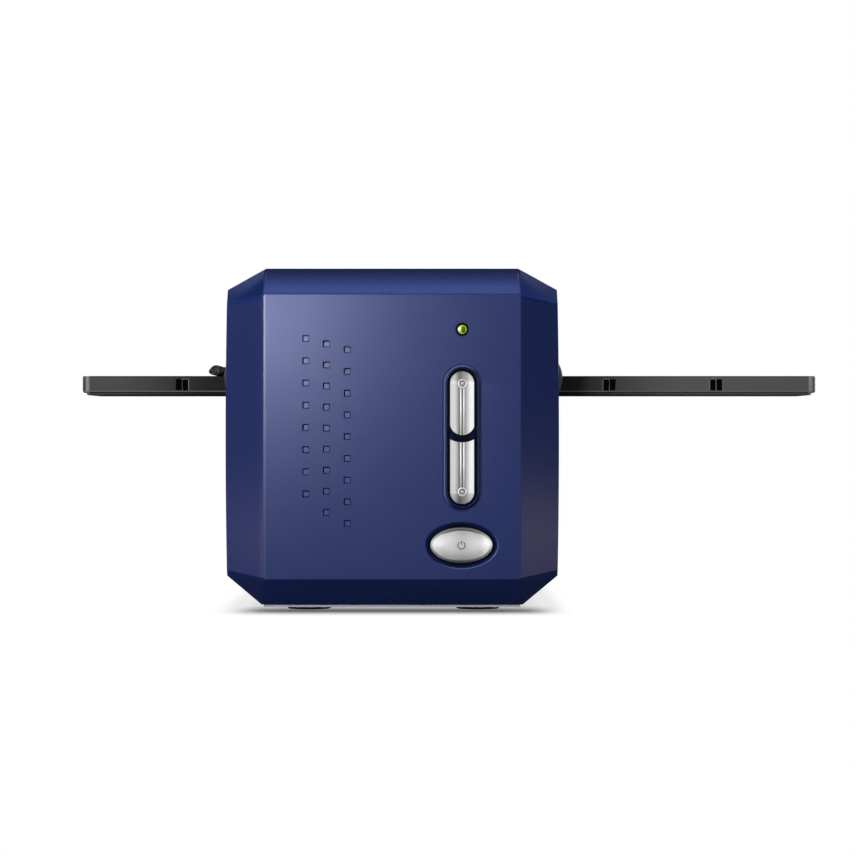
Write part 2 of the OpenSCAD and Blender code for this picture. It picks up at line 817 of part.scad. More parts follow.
// Film holder
module film_holder_tray() {
    color("black") at_holder() difference() {
        union() {
            round_plate(holder_l / 2 - runner_inset, holder_w / 2 - runner_inset, corner_r, holder_z,
                holder_z + runner_h);
            round_plate(holder_l / 2, holder_w / 2, corner_r, holder_z + runner_h, holder_top);
        }
        block(
            [-holder_l / 2 + lid_end, -holder_w / 2 + lid_side, holder_top - lid_h],
            [holder_l / 2 - lid_end, holder_w / 2 - lid_side, holder_top + 1]
        );
        frame_windows();
        for (x = frames, s = [-1, 1])
            block(
                [x + s * notch_gap - notch_w / 2, -holder_w / 2 - 1, holder_top - 1.2 - notch_h],
                [x + s * notch_gap + notch_w / 2, -holder_w / 2 + notch_d, holder_top - 1.2]
            );
        for (x = frames) upright(x, holder_w / 2 + 0.6, holder_z - 1, detent_r, holder_h + 2);
        for (s = [-1, 1])
            along_x(lid_pin_x(s) - lid_pin_l / 2 - fit_gap, lid_pin_y, lid_pin_z, lid_pin_r + seat_gap,
                lid_pin_l + 2 * fit_gap);
    }
}
lid_pin_y = holder_w / 2 - lid_side - 1.6;
function lid_pin_x(s) = s * (holder_l / 2 - lid_end);

module frame_windows() {
    for (x = frames) block(
        [x - window_w / 2, -window_h / 2, holder_z - 1],
        [x + window_w / 2, window_h / 2, holder_top + 1]
    );
}

module film_holder_lid() {
    color("dimgray") at_holder() difference() {
        block(
            [-holder_l / 2 + lid_end + fit_gap, -holder_w / 2 + lid_side + fit_gap, holder_top - lid_h],
            [holder_l / 2 - lid_end - fit_gap, holder_w / 2 - lid_side - fit_gap, holder_top]
        );
        frame_windows();
        for (s = [-1, 1])
            along_x(lid_pin_x(s) - lid_pin_l / 2 - fit_gap, lid_pin_y, lid_pin_z, lid_pin_r + run_gap,
                lid_pin_l + 2 * fit_gap);
    }
}

module film_holder_hinge_pins() {
    color("silver") at_holder() for (s = [-1, 1])
        along_x(lid_pin_x(s) - lid_pin_l / 2, lid_pin_y, lid_pin_z, lid_pin_r, lid_pin_l);
}

// Chassis and film gate
module chassis() {
    color("silver") difference() {
        union() {
            chassis_wall(chassis_front, chassis_rear - chassis_front, chassis_top);
            chassis_wall(chassis_front, sheet, rod_wall_top);
            chassis_wall(middle_wall_y, sheet, rod_wall_top);
            chassis_wall(chassis_rear - sheet, sheet, board_wall_top);
            for (p = board_screws_at) along_y(p.x, chassis_rear - 0.5, p.y, boss_r, standoff_l + 0.5);
        }
        for (s = [-1, 1])
            along_y(s * rod_x, chassis_front - 1, rod_z, rod_r + seat_gap, rod_l + 2);
        block(
            [-flange_r - 2, middle_wall_y - 1, chassis_top],
            [flange_r + 2, middle_wall_y + sheet + 1, belt_top + 2]
        );
        block([-board_window_half_w, chassis_rear - sheet - 1, chassis_top + 10],
            [board_window_half_w, chassis_rear + 1, board_wall_top - 6]);
        for (p = board_screws_at) along_y(p.x, chassis_rear - 3, p.y, screw_r + seat_gap, standoff_l + 4);
        at_points(posts_at) upright(0, 0, chassis_z - 1, screw_r + fit_gap, sheet + 2);
        for (y = [idler_y, drive_y]) upright(0, y, chassis_z - 1, axle_r + seat_gap, sheet + 2);
    }
}

module chassis_wall(y, depth, top) {
    block([-chassis_half_w, y, chassis_z], [chassis_half_w, y + depth, top]);
}

module gate_bracket(s) {
    outer = chassis_half_w;
    x0 = s > 0 ? outer - sheet : -outer;
    foot_x0 = s > 0 ? outer - bracket_foot : -outer;
    color("silver") {
        block(
            [x0, holder_y - bracket_half_l, chassis_top],
            [x0 + sheet, holder_y + bracket_half_l, gate_top]
        );
        for (y = [holder_y - bracket_half_l, holder_y + bracket_half_l - bracket_foot])
            block([foot_x0, y, gate_top - sheet], [foot_x0 + bracket_foot, y + bracket_foot, gate_top]);
    }
}

// A channel that carries one edge of the film holder; way is -1 at the front and 1 at the rear
module gate_rail(way) {
    web = holder_y + way * (holder_w / 2 + move_gap);
    back = web + way * web_t;
    tip = web - way * gate_lip_reach;
    lips = [min(tip, back), max(tip, back)];
    rail_top = holder_top + move_gap + gate_lip;
    color("dimgray") difference() {
        union() {
            block([-rail_half_l, lips[0], gate_top], [rail_half_l, lips[1], gate_top + gate_lip]);
            block([-rail_half_l, min(web, back), gate_top], [rail_half_l, max(web, back), rail_top]);
            block([-upper_lip_half_l, lips[0], rail_top - gate_lip], [upper_lip_half_l, lips[1], rail_top]);
        }
        if (way > 0)
            block([-detent_hole_half_w, web - 1, holder_z], [detent_hole_half_w, back + 1, holder_top]);
    }
}

module detent_spring() {
    back = holder_rear + move_gap + web_t;
    low = (holder_z + holder_top - spring_w) / 2;
    color("gold") {
        block([-spring_half_l, back, low], [spring_half_l, back + spring_t, low + spring_w]);
        block([-1, holder_rear + 0.8, low], [1, back + 0.2, low + spring_w]);
        upright(0, holder_rear + 0.8, low, detent_r - move_gap - 0.2, spring_w);
    }
}

// Optical carriage
module optical_carriage() {
    lens_hole = lens_r + seat_gap;
    color("gray") difference() {
        union() {
            difference() {
                block([-box_half_w, box_front, box_low], [box_half_w, box_rear, box_top]);
                block(
                    [-box_half_w + box_wall, box_front + box_wall, box_low + box_wall],
                    [box_half_w - box_wall, box_rear - box_wall, box_top - box_wall]
                );
                block(
                    [-slit_half_w, box_front + box_wall, box_top - box_wall - 1],
                    [slit_half_w, slit_y + 12, box_top + 1]
                );
            }
            block([-box_half_w + 1, cradle_front, box_low + 1], [box_half_w - 1, cradle_rear, box_top - 1]);
            for (s = [-1, 1]) translate([0, slit_y, optics_z]) rotate([-45, 0, 0])
                block(
                    [s > 0 ? mirror_w / 2 - 4 : -box_half_w + 1, -mirror_l / 2, -mirror_t - 3],
                    [s > 0 ? box_half_w - 1 : -mirror_w / 2 + 4, mirror_l / 2, -mirror_t]
                );
            for (s = [-1, 1], y = bush_ys) bush_housing(s, y);
            belt_clamp();
        }
        along_y(0, cradle_front - 1, optics_z, lens_hole, cradle_rear - cradle_front + 2);
        block(
            [-sensor_half_w - fit_gap, box_rear - box_wall - 1, optics_z - sensor_half_h - fit_gap],
            [sensor_half_w + fit_gap, box_rear + 1, optics_z + sensor_half_h + fit_gap]
        );
        for (s = [-1, 1], y = bush_ys) along_y(s * rod_x, y - 1, rod_z, bush_r + seat_gap, bush_l + 2);
    }
}

module bush_housing(s, y) {
    along_y(s * rod_x, y, rod_z, bush_r + bush_wall, bush_l);
    block(
        [s > 0 ? box_half_w - 1 : -rod_x, y, rod_z - bush_r - bush_wall],
        [s > 0 ? rod_x : -box_half_w + 1, y + bush_l, rod_z + bush_r + bush_wall]
    );
}

// A fork that grips one run of the belt
module belt_clamp() {
    grip = belt_t / 2 + move_gap;
    middle = pulley_r + belt_t / 2;
    difference() {
        block([middle - grip - box_wall, clamp_y - clamp_half_l, belt_z],
            [middle + grip + box_wall, clamp_y + clamp_half_l, box_low + 1]);
        block([middle - grip, clamp_y - clamp_half_l - 1, belt_z - 1],
            [middle + grip, clamp_y + clamp_half_l + 1, belt_top + move_gap]);
    }
}

module lamp_bracket() {
    color("gray") {
        block([-arm_half_w, spine_front, box_top], [arm_half_w, spine_front + arm_t, arm_top]);
        block([-arm_half_w, arm_front, arm_low], [arm_half_w, spine_front + arm_t, arm_top]);
        block([-arm_half_w, spine_front, box_top],
            [arm_half_w, spine_front + bracket_foot_l, box_top + arm_t]);
    }
}

module lamp_bar() {
    color("silver") block([-lamp_half_w, slit_y - lamp_half_d, lamp_low + diffuser_t],
        [lamp_half_w, slit_y + lamp_half_d, arm_low]);
}

module lamp_diffuser() {
    color("white") block([-lamp_half_w + 2, slit_y - lamp_half_d / 2, lamp_low],
        [lamp_half_w - 2, slit_y + lamp_half_d / 2, lamp_low + diffuser_t]);
}

module guide_bushes() {
    color("goldenrod") for (s = [-1, 1], y = bush_ys) difference() {
        along_y(s * rod_x, y, rod_z, bush_r, bush_l);
        along_y(s * rod_x, y - 1, rod_z, rod_r + run_gap, bush_l + 2);
    }
}

module mirror_glass() {
    color("lightcyan") translate([0, slit_y, optics_z]) rotate([-45, 0, 0])
        block([-mirror_w / 2, -mirror_l / 2, -mirror_t], [mirror_w / 2, mirror_l / 2, 0]);
}

module lens_barrel() {
    color("black") difference() {
        along_y(0, lens_front, optics_z, lens_r, lens_l);
        along_y(0, lens_front - 1, optics_z, glass_r - 1, lens_l + 2);
        along_y(0, lens_front - 1, optics_z, glass_r + seat_gap, glass_t + 1);
        along_y(0, lens_front + lens_l - glass_t, optics_z, glass_r + seat_gap, glass_t + 1);
    }
}

module lens_glasses() {
    bulge_r = 2 * glass_r;
    color("lightblue") for (end = [0, 1]) {
        y = end == 0 ? lens_front : lens_front + lens_l - glass_t;
        middle = end == 0 ? y + bulge_r : y + glass_t - bulge_r;
        intersection() {
            along_y(0, y, optics_z, glass_r, glass_t);
            translate([0, middle, optics_z]) rotate([90, 0, 0]) sphere(r = bulge_r);
        }
    }
}

module sensor_board() {
    color("darkgreen") {
        block([-sensor_board_half_w, box_rear, sensor_board_low],
            [sensor_board_half_w, box_rear + board_t, sensor_board_high]);
        block([-cable_half_w - 2, box_rear + board_t, cable_low - plug_h],
            [cable_half_w + 2, box_rear + board_t + plug_d, cable_low]);
    }
}

module image_sensor() {
    color("darkslategray") block([-sensor_half_w, box_rear - 3, optics_z - sensor_half_h],
        [sensor_half_w, box_rear, optics_z + sensor_half_h]);
}

module guide_rod(s) {
    color("silver") along_y(s * rod_x, chassis_front, rod_z, rod_r, rod_l);
}

// Drive
module motor_bracket() {
    left = -gear_module * gear_teeth / 2 - 7;
    right = motor_x + motor_r + 2;
    rear = drive_y + motor_r - 2;
    color("silver") difference() {
        union() {
            block([left, drive_y - 14, motor_plate_z], [right, rear, motor_z]);
            block([left, drive_y - 14, chassis_top], [left + sheet, rear, motor_z]);
            block([right - sheet, drive_y - 14, chassis_top], [right, rear, motor_z]);
        }
        upright(motor_x, drive_y, motor_plate_z - 1, motor_boss_r, sheet + 2);
    }
}

module stepper_motor() {
    color("silver") difference() {
        union() {
            upright(motor_x, drive_y, motor_z, motor_r, motor_h);
            upright(motor_x, drive_y, motor_plate_z, motor_boss_r - fit_gap, sheet + 0.5);
        }
        upright(motor_x, drive_y, motor_plate_z - 1, motor_shaft_r + run_gap, motor_h);
    }
}

// A spur gear with straight-sided teeth, one tooth pointing along +X when turned by 0
module spur_gear(teeth, t, turn) {
    pitch = gear_module * teeth / 2;
    tip = pitch + 0.8 * gear_module;
    root = pitch - gear_module;
    step = 360 / teeth;
    slack = backlash / pitch * 90 / PI;
    root_a = step * 0.36 - slack;
    pitch_a = step * 0.25 - slack;
    tip_a = step * 0.12;
    rotate([0, 0, turn]) linear_extrude(t) polygon([
        for (i = [0 : teeth - 1], p = [[-root_a, root], [-pitch_a, pitch], [-tip_a, tip],
            [tip_a, tip], [pitch_a, pitch], [root_a, root]])
            [p[1] * cos(i * step + p[0]), p[1] * sin(i * step + p[0])]
    ]);
}

module motor_pinion() {
    color("goldenrod") translate([motor_x, drive_y, gear_z]) {
        spur_gear(pinion_teeth, gear_t, pinion_teeth % 2 == 0 ? 0 : 180 / pinion_teeth);
        upright(0, 0, gear_t - 0.5, motor_shaft_r, motor_plate_z - gear_top + motor_h / 2);
    }
}

module pulley(low, high) {
    difference() {
        union() {
            upright(0, 0, low, flange_r, belt_z - move_gap - low);
            upright(0, 0, low, pulley_r - move_gap, high - low);
            upright(0, 0, belt_top + move_gap, flange_r, high - belt_top - move_gap);
            children();
        }
        upright(0, 0, low - 1, axle_r + run_gap, gear_top - low + 5);
    }
}

module drive_gear() {
    color("ivory") translate([0, drive_y, 0]) pulley(pulley_base, gear_z)
        translate([0, 0, gear_z - 0.1]) spur_gear(gear_teeth, gear_t + 0.1, 180 / gear_teeth);
}

module idler_pulley() {
    color("ivory") translate([0, idler_y, 0]) pulley(pulley_base, belt_top + 1);
}

module axle(y, top) {
    color("silver") {
        upright(0, y, chassis_z, axle_r, top - chassis_z);
        upright(0, y, chassis_top, axle_r + 1, pulley_base - chassis_top - move_gap);
    }
}

module timing_belt() {
    outer = pulley_r + belt_t;
    color("black") difference() {
        union() {
            for (y = [idler_y, drive_y]) upright(0, y, belt_z, outer, belt_w);
            block([-outer, idler_y, belt_z], [outer, drive_y, belt_top]);
        }
        for (y = [idler_y, drive_y]) upright(0, y, belt_z - 1, pulley_r, belt_w + 2);
        block([-pulley_r, idler_y, belt_z - 1], [pulley_r, drive_y, belt_top + 1]);
    }
}

// Electronics
module main_board() {
    color("darkgreen") difference() {
        union() {
            block([-main_board_half_w, main_board_y, main_board_low],
                [main_board_half_w, main_board_back, main_board_high]);
            block([-cable_half_w - 2, main_board_y - plug_d, cable_low - plug_h],
                [cable_half_w + 2, main_board_y, cable_low]);
            for (chip = [[-20, 48, 14], [8, 52, 10], [28, 46, 8]])
                block([chip[0] - chip[2] / 2, main_board_back - 0.1, chip[1] - chip[2] / 2],
                    [chip[0] + chip[2] / 2, main_board_back + 2, chip[1] + chip[2] / 2]);
        }
        for (p = board_screws_at) along_y(p.x, main_board_y - 1, p.y, screw_r + fit_gap, board_t + 2);
    }
}

module power_inlet() {
    color("black") {
        difference() {
            block([inlet_x - inlet_half_w, main_board_back, socket_z - inlet_half_h],
                [inlet_x + inlet_half_w, socket_end, socket_z + inlet_half_h]);
            along_y(inlet_x, socket_end - inlet_depth, socket_z, inlet_hole_r, inlet_depth + 1);
        }
        along_y(inlet_x, socket_end - inlet_depth - 0.5, socket_z, inlet_pin_r, inlet_pin_l + 0.5);
    }
}

module data_socket() {
    color("silver") {
        difference() {
            block([data_x - data_half_w, main_board_back, socket_z - data_half_h],
                [data_x + data_half_w, socket_end, socket_z + data_half_h]);
            block([data_x - data_mouth_half_w, socket_end - data_depth, socket_z - data_mouth_half_h],
                [data_x + data_mouth_half_w, socket_end + 1, socket_z + data_mouth_half_h]);
        }
        block([data_x - data_tongue_half_w, socket_end - data_depth - 0.5, socket_z - data_tongue_half_h],
            [data_x + data_tongue_half_w, socket_end - 1, socket_z + data_tongue_half_h]);
    }
}

module sensor_flat_cable() {
    middle = (cable_start_y + cable_end_y) / 2;
    color("white") difference() {
        union() {
            for (y = [cable_start_y - cable_t / 2, cable_end_y - cable_t / 2])
                block([-cable_half_w, y, cable_low], [cable_half_w, y + cable_t, cable_bend_z]);
            along_x(-cable_half_w, middle, cable_bend_z, cable_bend_r + cable_t / 2, 2 * cable_half_w);
        }
        along_x(-cable_half_w - 1, middle, cable_bend_z, cable_bend_r - cable_t / 2, 2 * cable_half_w + 2);
        block([-cable_half_w - 1, cable_start_y + cable_t / 2, cable_low - 1],
            [cable_half_w + 1, cable_end_y - cable_t / 2, cable_bend_z]);
    }
}

// Ribbon from the button board along the side wall to the main board
module button_cable() {
    run_x = inner_x - bezel_flange - 2.4;
    low = boss_low + boss_r + 2;
    high = low + ribbon_w;
    board_edge = control_x + board_half_w;
    front_lead = button_board_y + board_t;
    color("lightgray") {
        block([board_edge - 6, front_lead, low], [run_x + cable_t, front_lead + cable_t, high]);
        block([run_x, front_lead, low], [run_x + cable_t, main_board_y, high]);
        block([main_board_half_w - 6, main_board_y - cable_t, low], [run_x + cable_t, main_board_y, high]);
    }
}

// Screws
module screw(l) {
    upright(0, 0, -l, screw_r, l + 0.1);
    upright(0, 0, 0, screw_head_r, screw_head_h);
}

// A screw driven forwards into a board
module rear_screw(p, y) {
    translate([p.x, y, p.y]) rotate([-90, 0, 0]) screw(board_t + 4);
}

module base_screws() {
    color("dimgray") for (p = base_screws_at)
        translate([p.x, p.y, plate_bottom]) rotate([180, 0, 0]) screw(plate_lip + wall + 1);
}

module chassis_screws() {
    color("silver") for (p = posts_at) translate([p.x, p.y, chassis_top]) screw(sheet + chassis_gap + 1);
}

module board_screws() {
    color("silver") {
        for (p = board_screws_at) rear_screw(p, main_board_back);
        for (p = front_screws_at) rear_screw(p, button_board_y + board_t);
    }
}

front_cover();
casing();
rear_cover();
bottom_cover();
foot(-1, front_foot_y);  // foot_front_left
foot(1, front_foot_y);  // foot_front_right
foot(-1, rear_foot_y);  // foot_rear_left
foot(1, rear_foot_y);  // foot_rear_right
slot_bezel(-1);  // left_slot_bezel
slot_bezel(1);  // right_slot_bezel
dust_flap(-1);  // left_dust_flap
dust_flap(1);  // right_dust_flap
flap_pins();
upper_scan_button();
lower_scan_button();
power_button();
switch_plunger(upper_switch_z);  // upper_switch_plunger
switch_plunger(lower_switch_z);  // lower_switch_plunger
switch_plunger(power_z);  // power_switch_plunger
switch_housings();
button_board();
status_lens();
status_led();
film_holder_tray();
film_holder_lid();
film_holder_hinge_pins();
chassis();
gate_bracket(-1);  // left_gate_bracket
gate_bracket(1);  // right_gate_bracket
gate_rail(-1);  // front_gate_rail
gate_rail(1);  // rear_gate_rail
detent_spring();
optical_carriage();
lamp_bracket();
lamp_bar();
lamp_diffuser();
guide_bushes();
mirror_glass();  // mirror
lens_barrel();
lens_glasses();
sensor_board();
image_sensor();
guide_rod(-1);  // left_guide_rod
guide_rod(1);  // right_guide_rod
motor_bracket();
stepper_motor();
motor_pinion();
drive_gear();
axle(drive_y, axle_top);  // drive_axle
idler_pulley();
axle(idler_y, belt_top + 2);  // idler_axle
timing_belt();
main_board();
power_inlet();
data_socket();
sensor_flat_cable();
button_cable();
base_screws();
chassis_screws();
board_screws();
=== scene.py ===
"""Looks of a desktop scanner for 35 mm film: finishes, rounded shells and controls around its solids.

Sizes are millimetres until a mesh is made, and metres from there on."""
import json
import math
from itertools import combinations

import bmesh
import bpy
import numpy as np
from mathutils import Matrix, Vector


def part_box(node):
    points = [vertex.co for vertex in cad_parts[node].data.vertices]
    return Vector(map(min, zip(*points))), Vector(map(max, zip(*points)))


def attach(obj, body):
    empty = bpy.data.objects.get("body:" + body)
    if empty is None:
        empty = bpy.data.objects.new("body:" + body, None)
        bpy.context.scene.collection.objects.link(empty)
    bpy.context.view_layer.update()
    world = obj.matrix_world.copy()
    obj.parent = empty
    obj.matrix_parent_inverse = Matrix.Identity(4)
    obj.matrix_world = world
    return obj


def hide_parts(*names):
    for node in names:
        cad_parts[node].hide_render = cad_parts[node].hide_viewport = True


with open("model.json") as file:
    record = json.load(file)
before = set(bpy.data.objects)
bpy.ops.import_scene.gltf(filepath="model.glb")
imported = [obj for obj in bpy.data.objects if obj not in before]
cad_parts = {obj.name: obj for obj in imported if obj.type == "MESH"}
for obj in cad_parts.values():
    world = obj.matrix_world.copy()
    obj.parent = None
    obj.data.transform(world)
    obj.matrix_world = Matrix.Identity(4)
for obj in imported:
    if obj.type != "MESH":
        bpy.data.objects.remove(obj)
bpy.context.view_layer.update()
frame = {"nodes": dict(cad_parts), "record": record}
scene = bpy.context.scene
MM = 0.001

# ---------------------------------------------------------------- sizes, from the solids where they can be


def box_mm(node):
    """Lowest and highest corner of a node, in millimetres."""
    low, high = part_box(node)
    return low / MM, high / MM


casing_low, casing_high = box_mm("casing")
SIDE = casing_high.x
TOP = casing_high.z
BASE = casing_low.z
FRONT = -136.0
REAR = box_mm("rear_cover")[1].y
FRONT_SPLIT = casing_low.y
REAR_SPLIT = casing_high.y
WALL = 2.5
FIT = 0.1
MIDDLE_Z = (TOP + BASE) / 2

# Bevels of the housing
SIDE_BEVEL = (13.2, 13.3)
TOP_BEVEL = (8.0, 9.0)
BOTTOM_BEVEL = (8.0, 8.9)
TOP_CUT = (14.0, 7.0)
BOTTOM_CUT = (12.4, 9.7)
CORNER_RUN = 2.7
FACET_STEP = 0.3
REAR_BEVEL = 6.0
FACE_X = SIDE - SIDE_BEVEL[0]
FACE_TOP = TOP - TOP_BEVEL[1]
FACE_LOW = BASE + BOTTOM_BEVEL[1]
EDGE_ROUND = 0.55
SEAM = 0.3
SIDE_CROWN = 0.7
SIDE_SWELL = 0.25
BEVEL_CROWN = 0.28


def facet_points(side, face, edge, bevel, cut, run):
    """Three points of a corner facet: on the front face, on the top or bottom, and on the side."""
    return (Vector((side * (FACE_X - FACET_STEP), FRONT, face)),
            Vector((side * (SIDE - cut[0]), FRONT + bevel[0] + FACET_STEP, edge)),
            Vector((side * SIDE, FRONT + SIDE_BEVEL[1], face - run)))


UPPER_FACET = (FACE_TOP, TOP, TOP_BEVEL, TOP_CUT, CORNER_RUN)
LOWER_FACET = (FACE_LOW, BASE, BOTTOM_BEVEL, BOTTOM_CUT, -CORNER_RUN)
# The way to a facet's outer rim across and up, and how far that way the rim is
RIM_WAY = (0.64, 0.77)
RIM_REACH = RIM_WAY[0] * (SIDE - TOP_CUT[0]) + RIM_WAY[1] * TOP

# Controls
upper_low, upper_high = box_mm("upper_scan_button")
lower_low, lower_high = box_mm("lower_scan_button")
BUTTON_R = 4.25
BUTTON_X = (upper_low.x + upper_high.x) / 2
UPPER_Z = (upper_low.z, upper_high.z)
LOWER_Z = (lower_low.z, lower_high.z)
DIP_R = 8.6
DIP_RISE = math.sqrt(DIP_R ** 2 - BUTTON_R ** 2)
BUTTON_GAP = 0.14
BUTTON_DEPTH = WALL + 1.2
COLLAR_GROW = 2.2
RECESS_DEPTH = 1.2

# Crown of the scan buttons' caps, with a ring, a ball and two ribs in a channel
CROWN_R = 8.5
CROWN_EDGE = 0.35
CROWN_STEP = 0.18
CROWN_Y = FRONT - CROWN_STEP - CROWN_R + math.sqrt(CROWN_R ** 2 - (BUTTON_R - CROWN_EDGE) ** 2)
CHANNEL_Y = CROWN_Y + 0.32
CHANNEL_HALF = 1.0
RING_Z = (UPPER_Z[1] - BUTTON_R, LOWER_Z[0] + BUTTON_R)
RING_R = 1.32
RING_TUBE = 0.3
POCKET_R = 1.85
RIB_OUT = 0.54
RIB_R = 0.32
RIB_RISE = 0.2
# Heights of each cap's ring and of its ribs' other end
UPPER_RIBS = (RING_Z[0], UPPER_Z[0] + 0.12)
LOWER_RIBS = (RING_Z[1], LOWER_Z[1] - DIP_R + DIP_RISE - 0.12)

# Outline of the caps at which their finish turns into a painted dark shadow
CAP_SEEN_R = 4.13
CAP_SEEN_X = 23.92

POWER_SIZE = (10.6, 6.05)
POWER_Z = 24.3
POWER_X = BUTTON_X - 0.3
LIGHT_Z = sum(corner.z for corner in box_mm("status_lens")) / 2
LIGHT_R = 1.75
LIGHT_HOLE_R = 2.15
SQUARE_COLUMNS = ((-29.4, 94.8, 8, 7.57), (-22.4, 93.0, 9, 7.18), (-15.3, 91.0, 9, 7.41))
SQUARES_ACROSS = (-32, -10)
SQUARES_UP = (25, 97)
SQUARE_SIDE = 2.35
SQUARE_DEPTH = 0.6
# How far each wall of a square slopes in: left, right, top, bottom
SQUARE_WALLS = (0.44, 0.2, 0.42, 0.3)

# Film holder
tray_low, tray_high = box_mm("film_holder_tray")
lid_low, lid_high = box_mm("film_holder_lid")
HOLDER_X = (tray_low.x + tray_high.x) / 2
HOLDER_Y = (tray_low.y + tray_high.y) / 2
HOLDER_HALF = ((tray_high.x - tray_low.x) / 2, (tray_high.y - tray_low.y) / 2)
TRAY_X = HOLDER_X + 0.8
TRAY_HALF = HOLDER_HALF[0] + 0.6
LID_HALF = ((lid_high.x - lid_low.x) / 2, (lid_high.y - lid_low.y) / 2)
FRAME_PITCH = 38.0
FRAME_COUNT = 6
FIRST_FRAME = HOLDER_X - (FRAME_COUNT - 1) / 2 * FRAME_PITCH
WINDOW = (36.0, 24.0)
RUNNER_INSET = 1.5
RUNNER_TOP = tray_low.z + 0.8
NOTCH = (2.0, 1.2, 4.0)
NOTCH_OUT = 1.15
NOTCH_SHIFT = 0.85
DETENT_R = 1.8

# Slots
bezel_low, bezel_high = box_mm("right_slot_bezel")
BEZEL_OUT = bezel_high.x
BEZEL_Z = (bezel_low.z + 2.0, bezel_high.z - 2.0)
BEZEL_HALF = (bezel_high.y - bezel_low.y) / 2 - 2.0
MOUTH_HALF = 31.5
MOUTH_Z = (BEZEL_Z[0] + 0.9, BEZEL_Z[1] - 0.9)
NOTCH_Z = MOUTH_Z[0] + 2.1 + NOTCH[2] / 2

# Dust flaps: the left one's section about its pin runs over barrel, hump and tip to the pad that rests
# on the film holder
FLAP_PIN = (SIDE - 0.7, 86.4)
FLAP_HALF = 31.2
FLAP_MIDDLE = (-4.0, -0.9)
FLAP_RIBS = 38
FLAP_SECTION = ((1.3, 0.4), (0.6, 1.2), (-0.8, 1.0), (-2.2, -0.1), (-3.3, -0.5), (-4.5, -0.36), (-5.5, 0.1),
                (-6.4, 0.34), (-7.1, 0.28), (-8.0, -0.1), (-8.8, -0.95), (-9.4, -1.85), (-9.15, -2.6),
                (-8.3, -3.15), (-7.2, -3.35), (-6.1, -3.35), (-5.4, -2.95), (-4.6, -2.4), (-3.2, -2.3),
                (-1.0, -1.6), (0.6, -1.2), (1.3, -0.5))

# Base screws: head, width and depth of the cross recess, and how far apart a pair is
SCREW_R = 2.8
CROSS = (1.5, 0.28, 0.08)
END_PAIR = 60
SIDE_PAIR = 120

# Camera, level with the middle of the housing
CAMERA_PLACE = (0.0123, -1.506, 0.0643)
CAMERA_LENS = 168.9

# What glossy surfaces mirror of the room on each side, and the light that it gives
ROOM_FRONT = 0.6
ROOM_BACK = 0.04
ROOM_SIDE = (1.5, 2.4)
ROOM_LEFT = 0.42
ROOM_RIGHT = 0.035
ROOM_HIGH = 0.08
ROOM_OVER = 0.6
ROOM_FILL = 0.05
FLOOR_MIRRORED = 0.55

# Area lamps: place, aim, size across and up, watts, colour, and whether gloss mirrors them
LAMPS = {
    "key": ((-0.087, -0.736, 0.132), (-0.04, -0.136, 0.10), (0.05, 0.05), 1.06, (1, 1, 1), True),
    "overhead": ((-0.16, -0.14, 0.55), (-0.16, -0.14, 0.0), (0.8, 0.8), 3.4, (1, 1, 1), False),
    "left": ((-0.62, -0.66, 0.40), (-0.03, -0.136, 0.07), (0.16, 0.3), 0.95, (1, 1, 1), True),
    "back": ((0.55, 0.95, 0.55), (0, 0.1, 0.05), (0.5, 0.5), 5.0, (1, 1, 1), False),
    "low left": ((-0.36, -0.13, 0.004), (-0.05, -0.13, 0.01), (0.05, 0.05), 0.034, (1.0, 0.8, 0.82), True),
    "low right": ((0.36, -0.13, 0.004), (0.05, -0.13, 0.01), (0.05, 0.05), 0.054, (1.0, 0.75, 0.55), True),
}

# ---------------------------------------------------------------- node trees


class Socket:
    """An output socket on which Python's operators and comparisons add Math nodes."""

    def __init__(self, tree, out):
        self.tree = tree
        self.out = out

    def all(self):
        """Every output of the same node, by name."""
        return {out.name: Socket(self.tree, out) for out in self.out.node.outputs}

    def parts(self):
        """The X, Y and Z parts of a vector."""
        return tuple(self.tree.node("ShaderNodeSeparateXYZ", None, {0: self}).all().values())

    def math(self, operation, *values):
        return self.tree.node("ShaderNodeMath", {"operation": operation}, dict(enumerate(values)))

    def __add__(self, other):
        return self.math("ADD", self, other)

    def __sub__(self, other):
        return self.math("SUBTRACT", self, other)

    def __rsub__(self, other):
        return self.math("SUBTRACT", other, self)

    def __mul__(self, other):
        return self.math("MULTIPLY", self, other)

    def __truediv__(self, other):
        return self.math("DIVIDE", self, other)

    def __pow__(self, other):
        return self.math("POWER", self, other)

    def __mod__(self, other):
        return self.math("FLOORED_MODULO", self, other)

    def __abs__(self):
        return self.math("ABSOLUTE", self)

    def __lt__(self, other):
        """1 where this is below the other, else 0."""
        return self.math("LESS_THAN", self, other)

    def __gt__(self, other):
        """1 where this is above the other, else 0."""
        return self.math("GREATER_THAN", self, other)

    __radd__ = __add__
    __rmul__ = __mul__

    def larger(self, other):
        return self.math("MAXIMUM", self, other)

    def smaller(self, other):
        return self.math("MINIMUM", self, other)

    def near(self, middle, half):
        """1 within half of middle, else 0."""
        return self.math("COMPARE", self, middle, half)

    def between(self, low, high):
        """1 above low and below high, else 0."""
        return (self > low) * (self < high)

    def ramp(self, low, high, to_low=0.0, to_high=1.0):
        """A smooth step from to_low at low to to_high at high."""
        settings = {"interpolation_type": "SMOOTHSTEP", "clamp": True}
        limits = {"Value": self, "From Min": low, "From Max": high, "To Min": to_low, "To Max": to_high}
        return self.tree.node("ShaderNodeMapRange", settings, limits)

    def bell(self, middle, half):
        """1 at middle, fading to 0 at half away on both sides."""
        return abs(self - middle).ramp(half, 0.0)


def square(value):
    return value * value


def length(across, up):
    return (across * across + up * up) ** 0.5


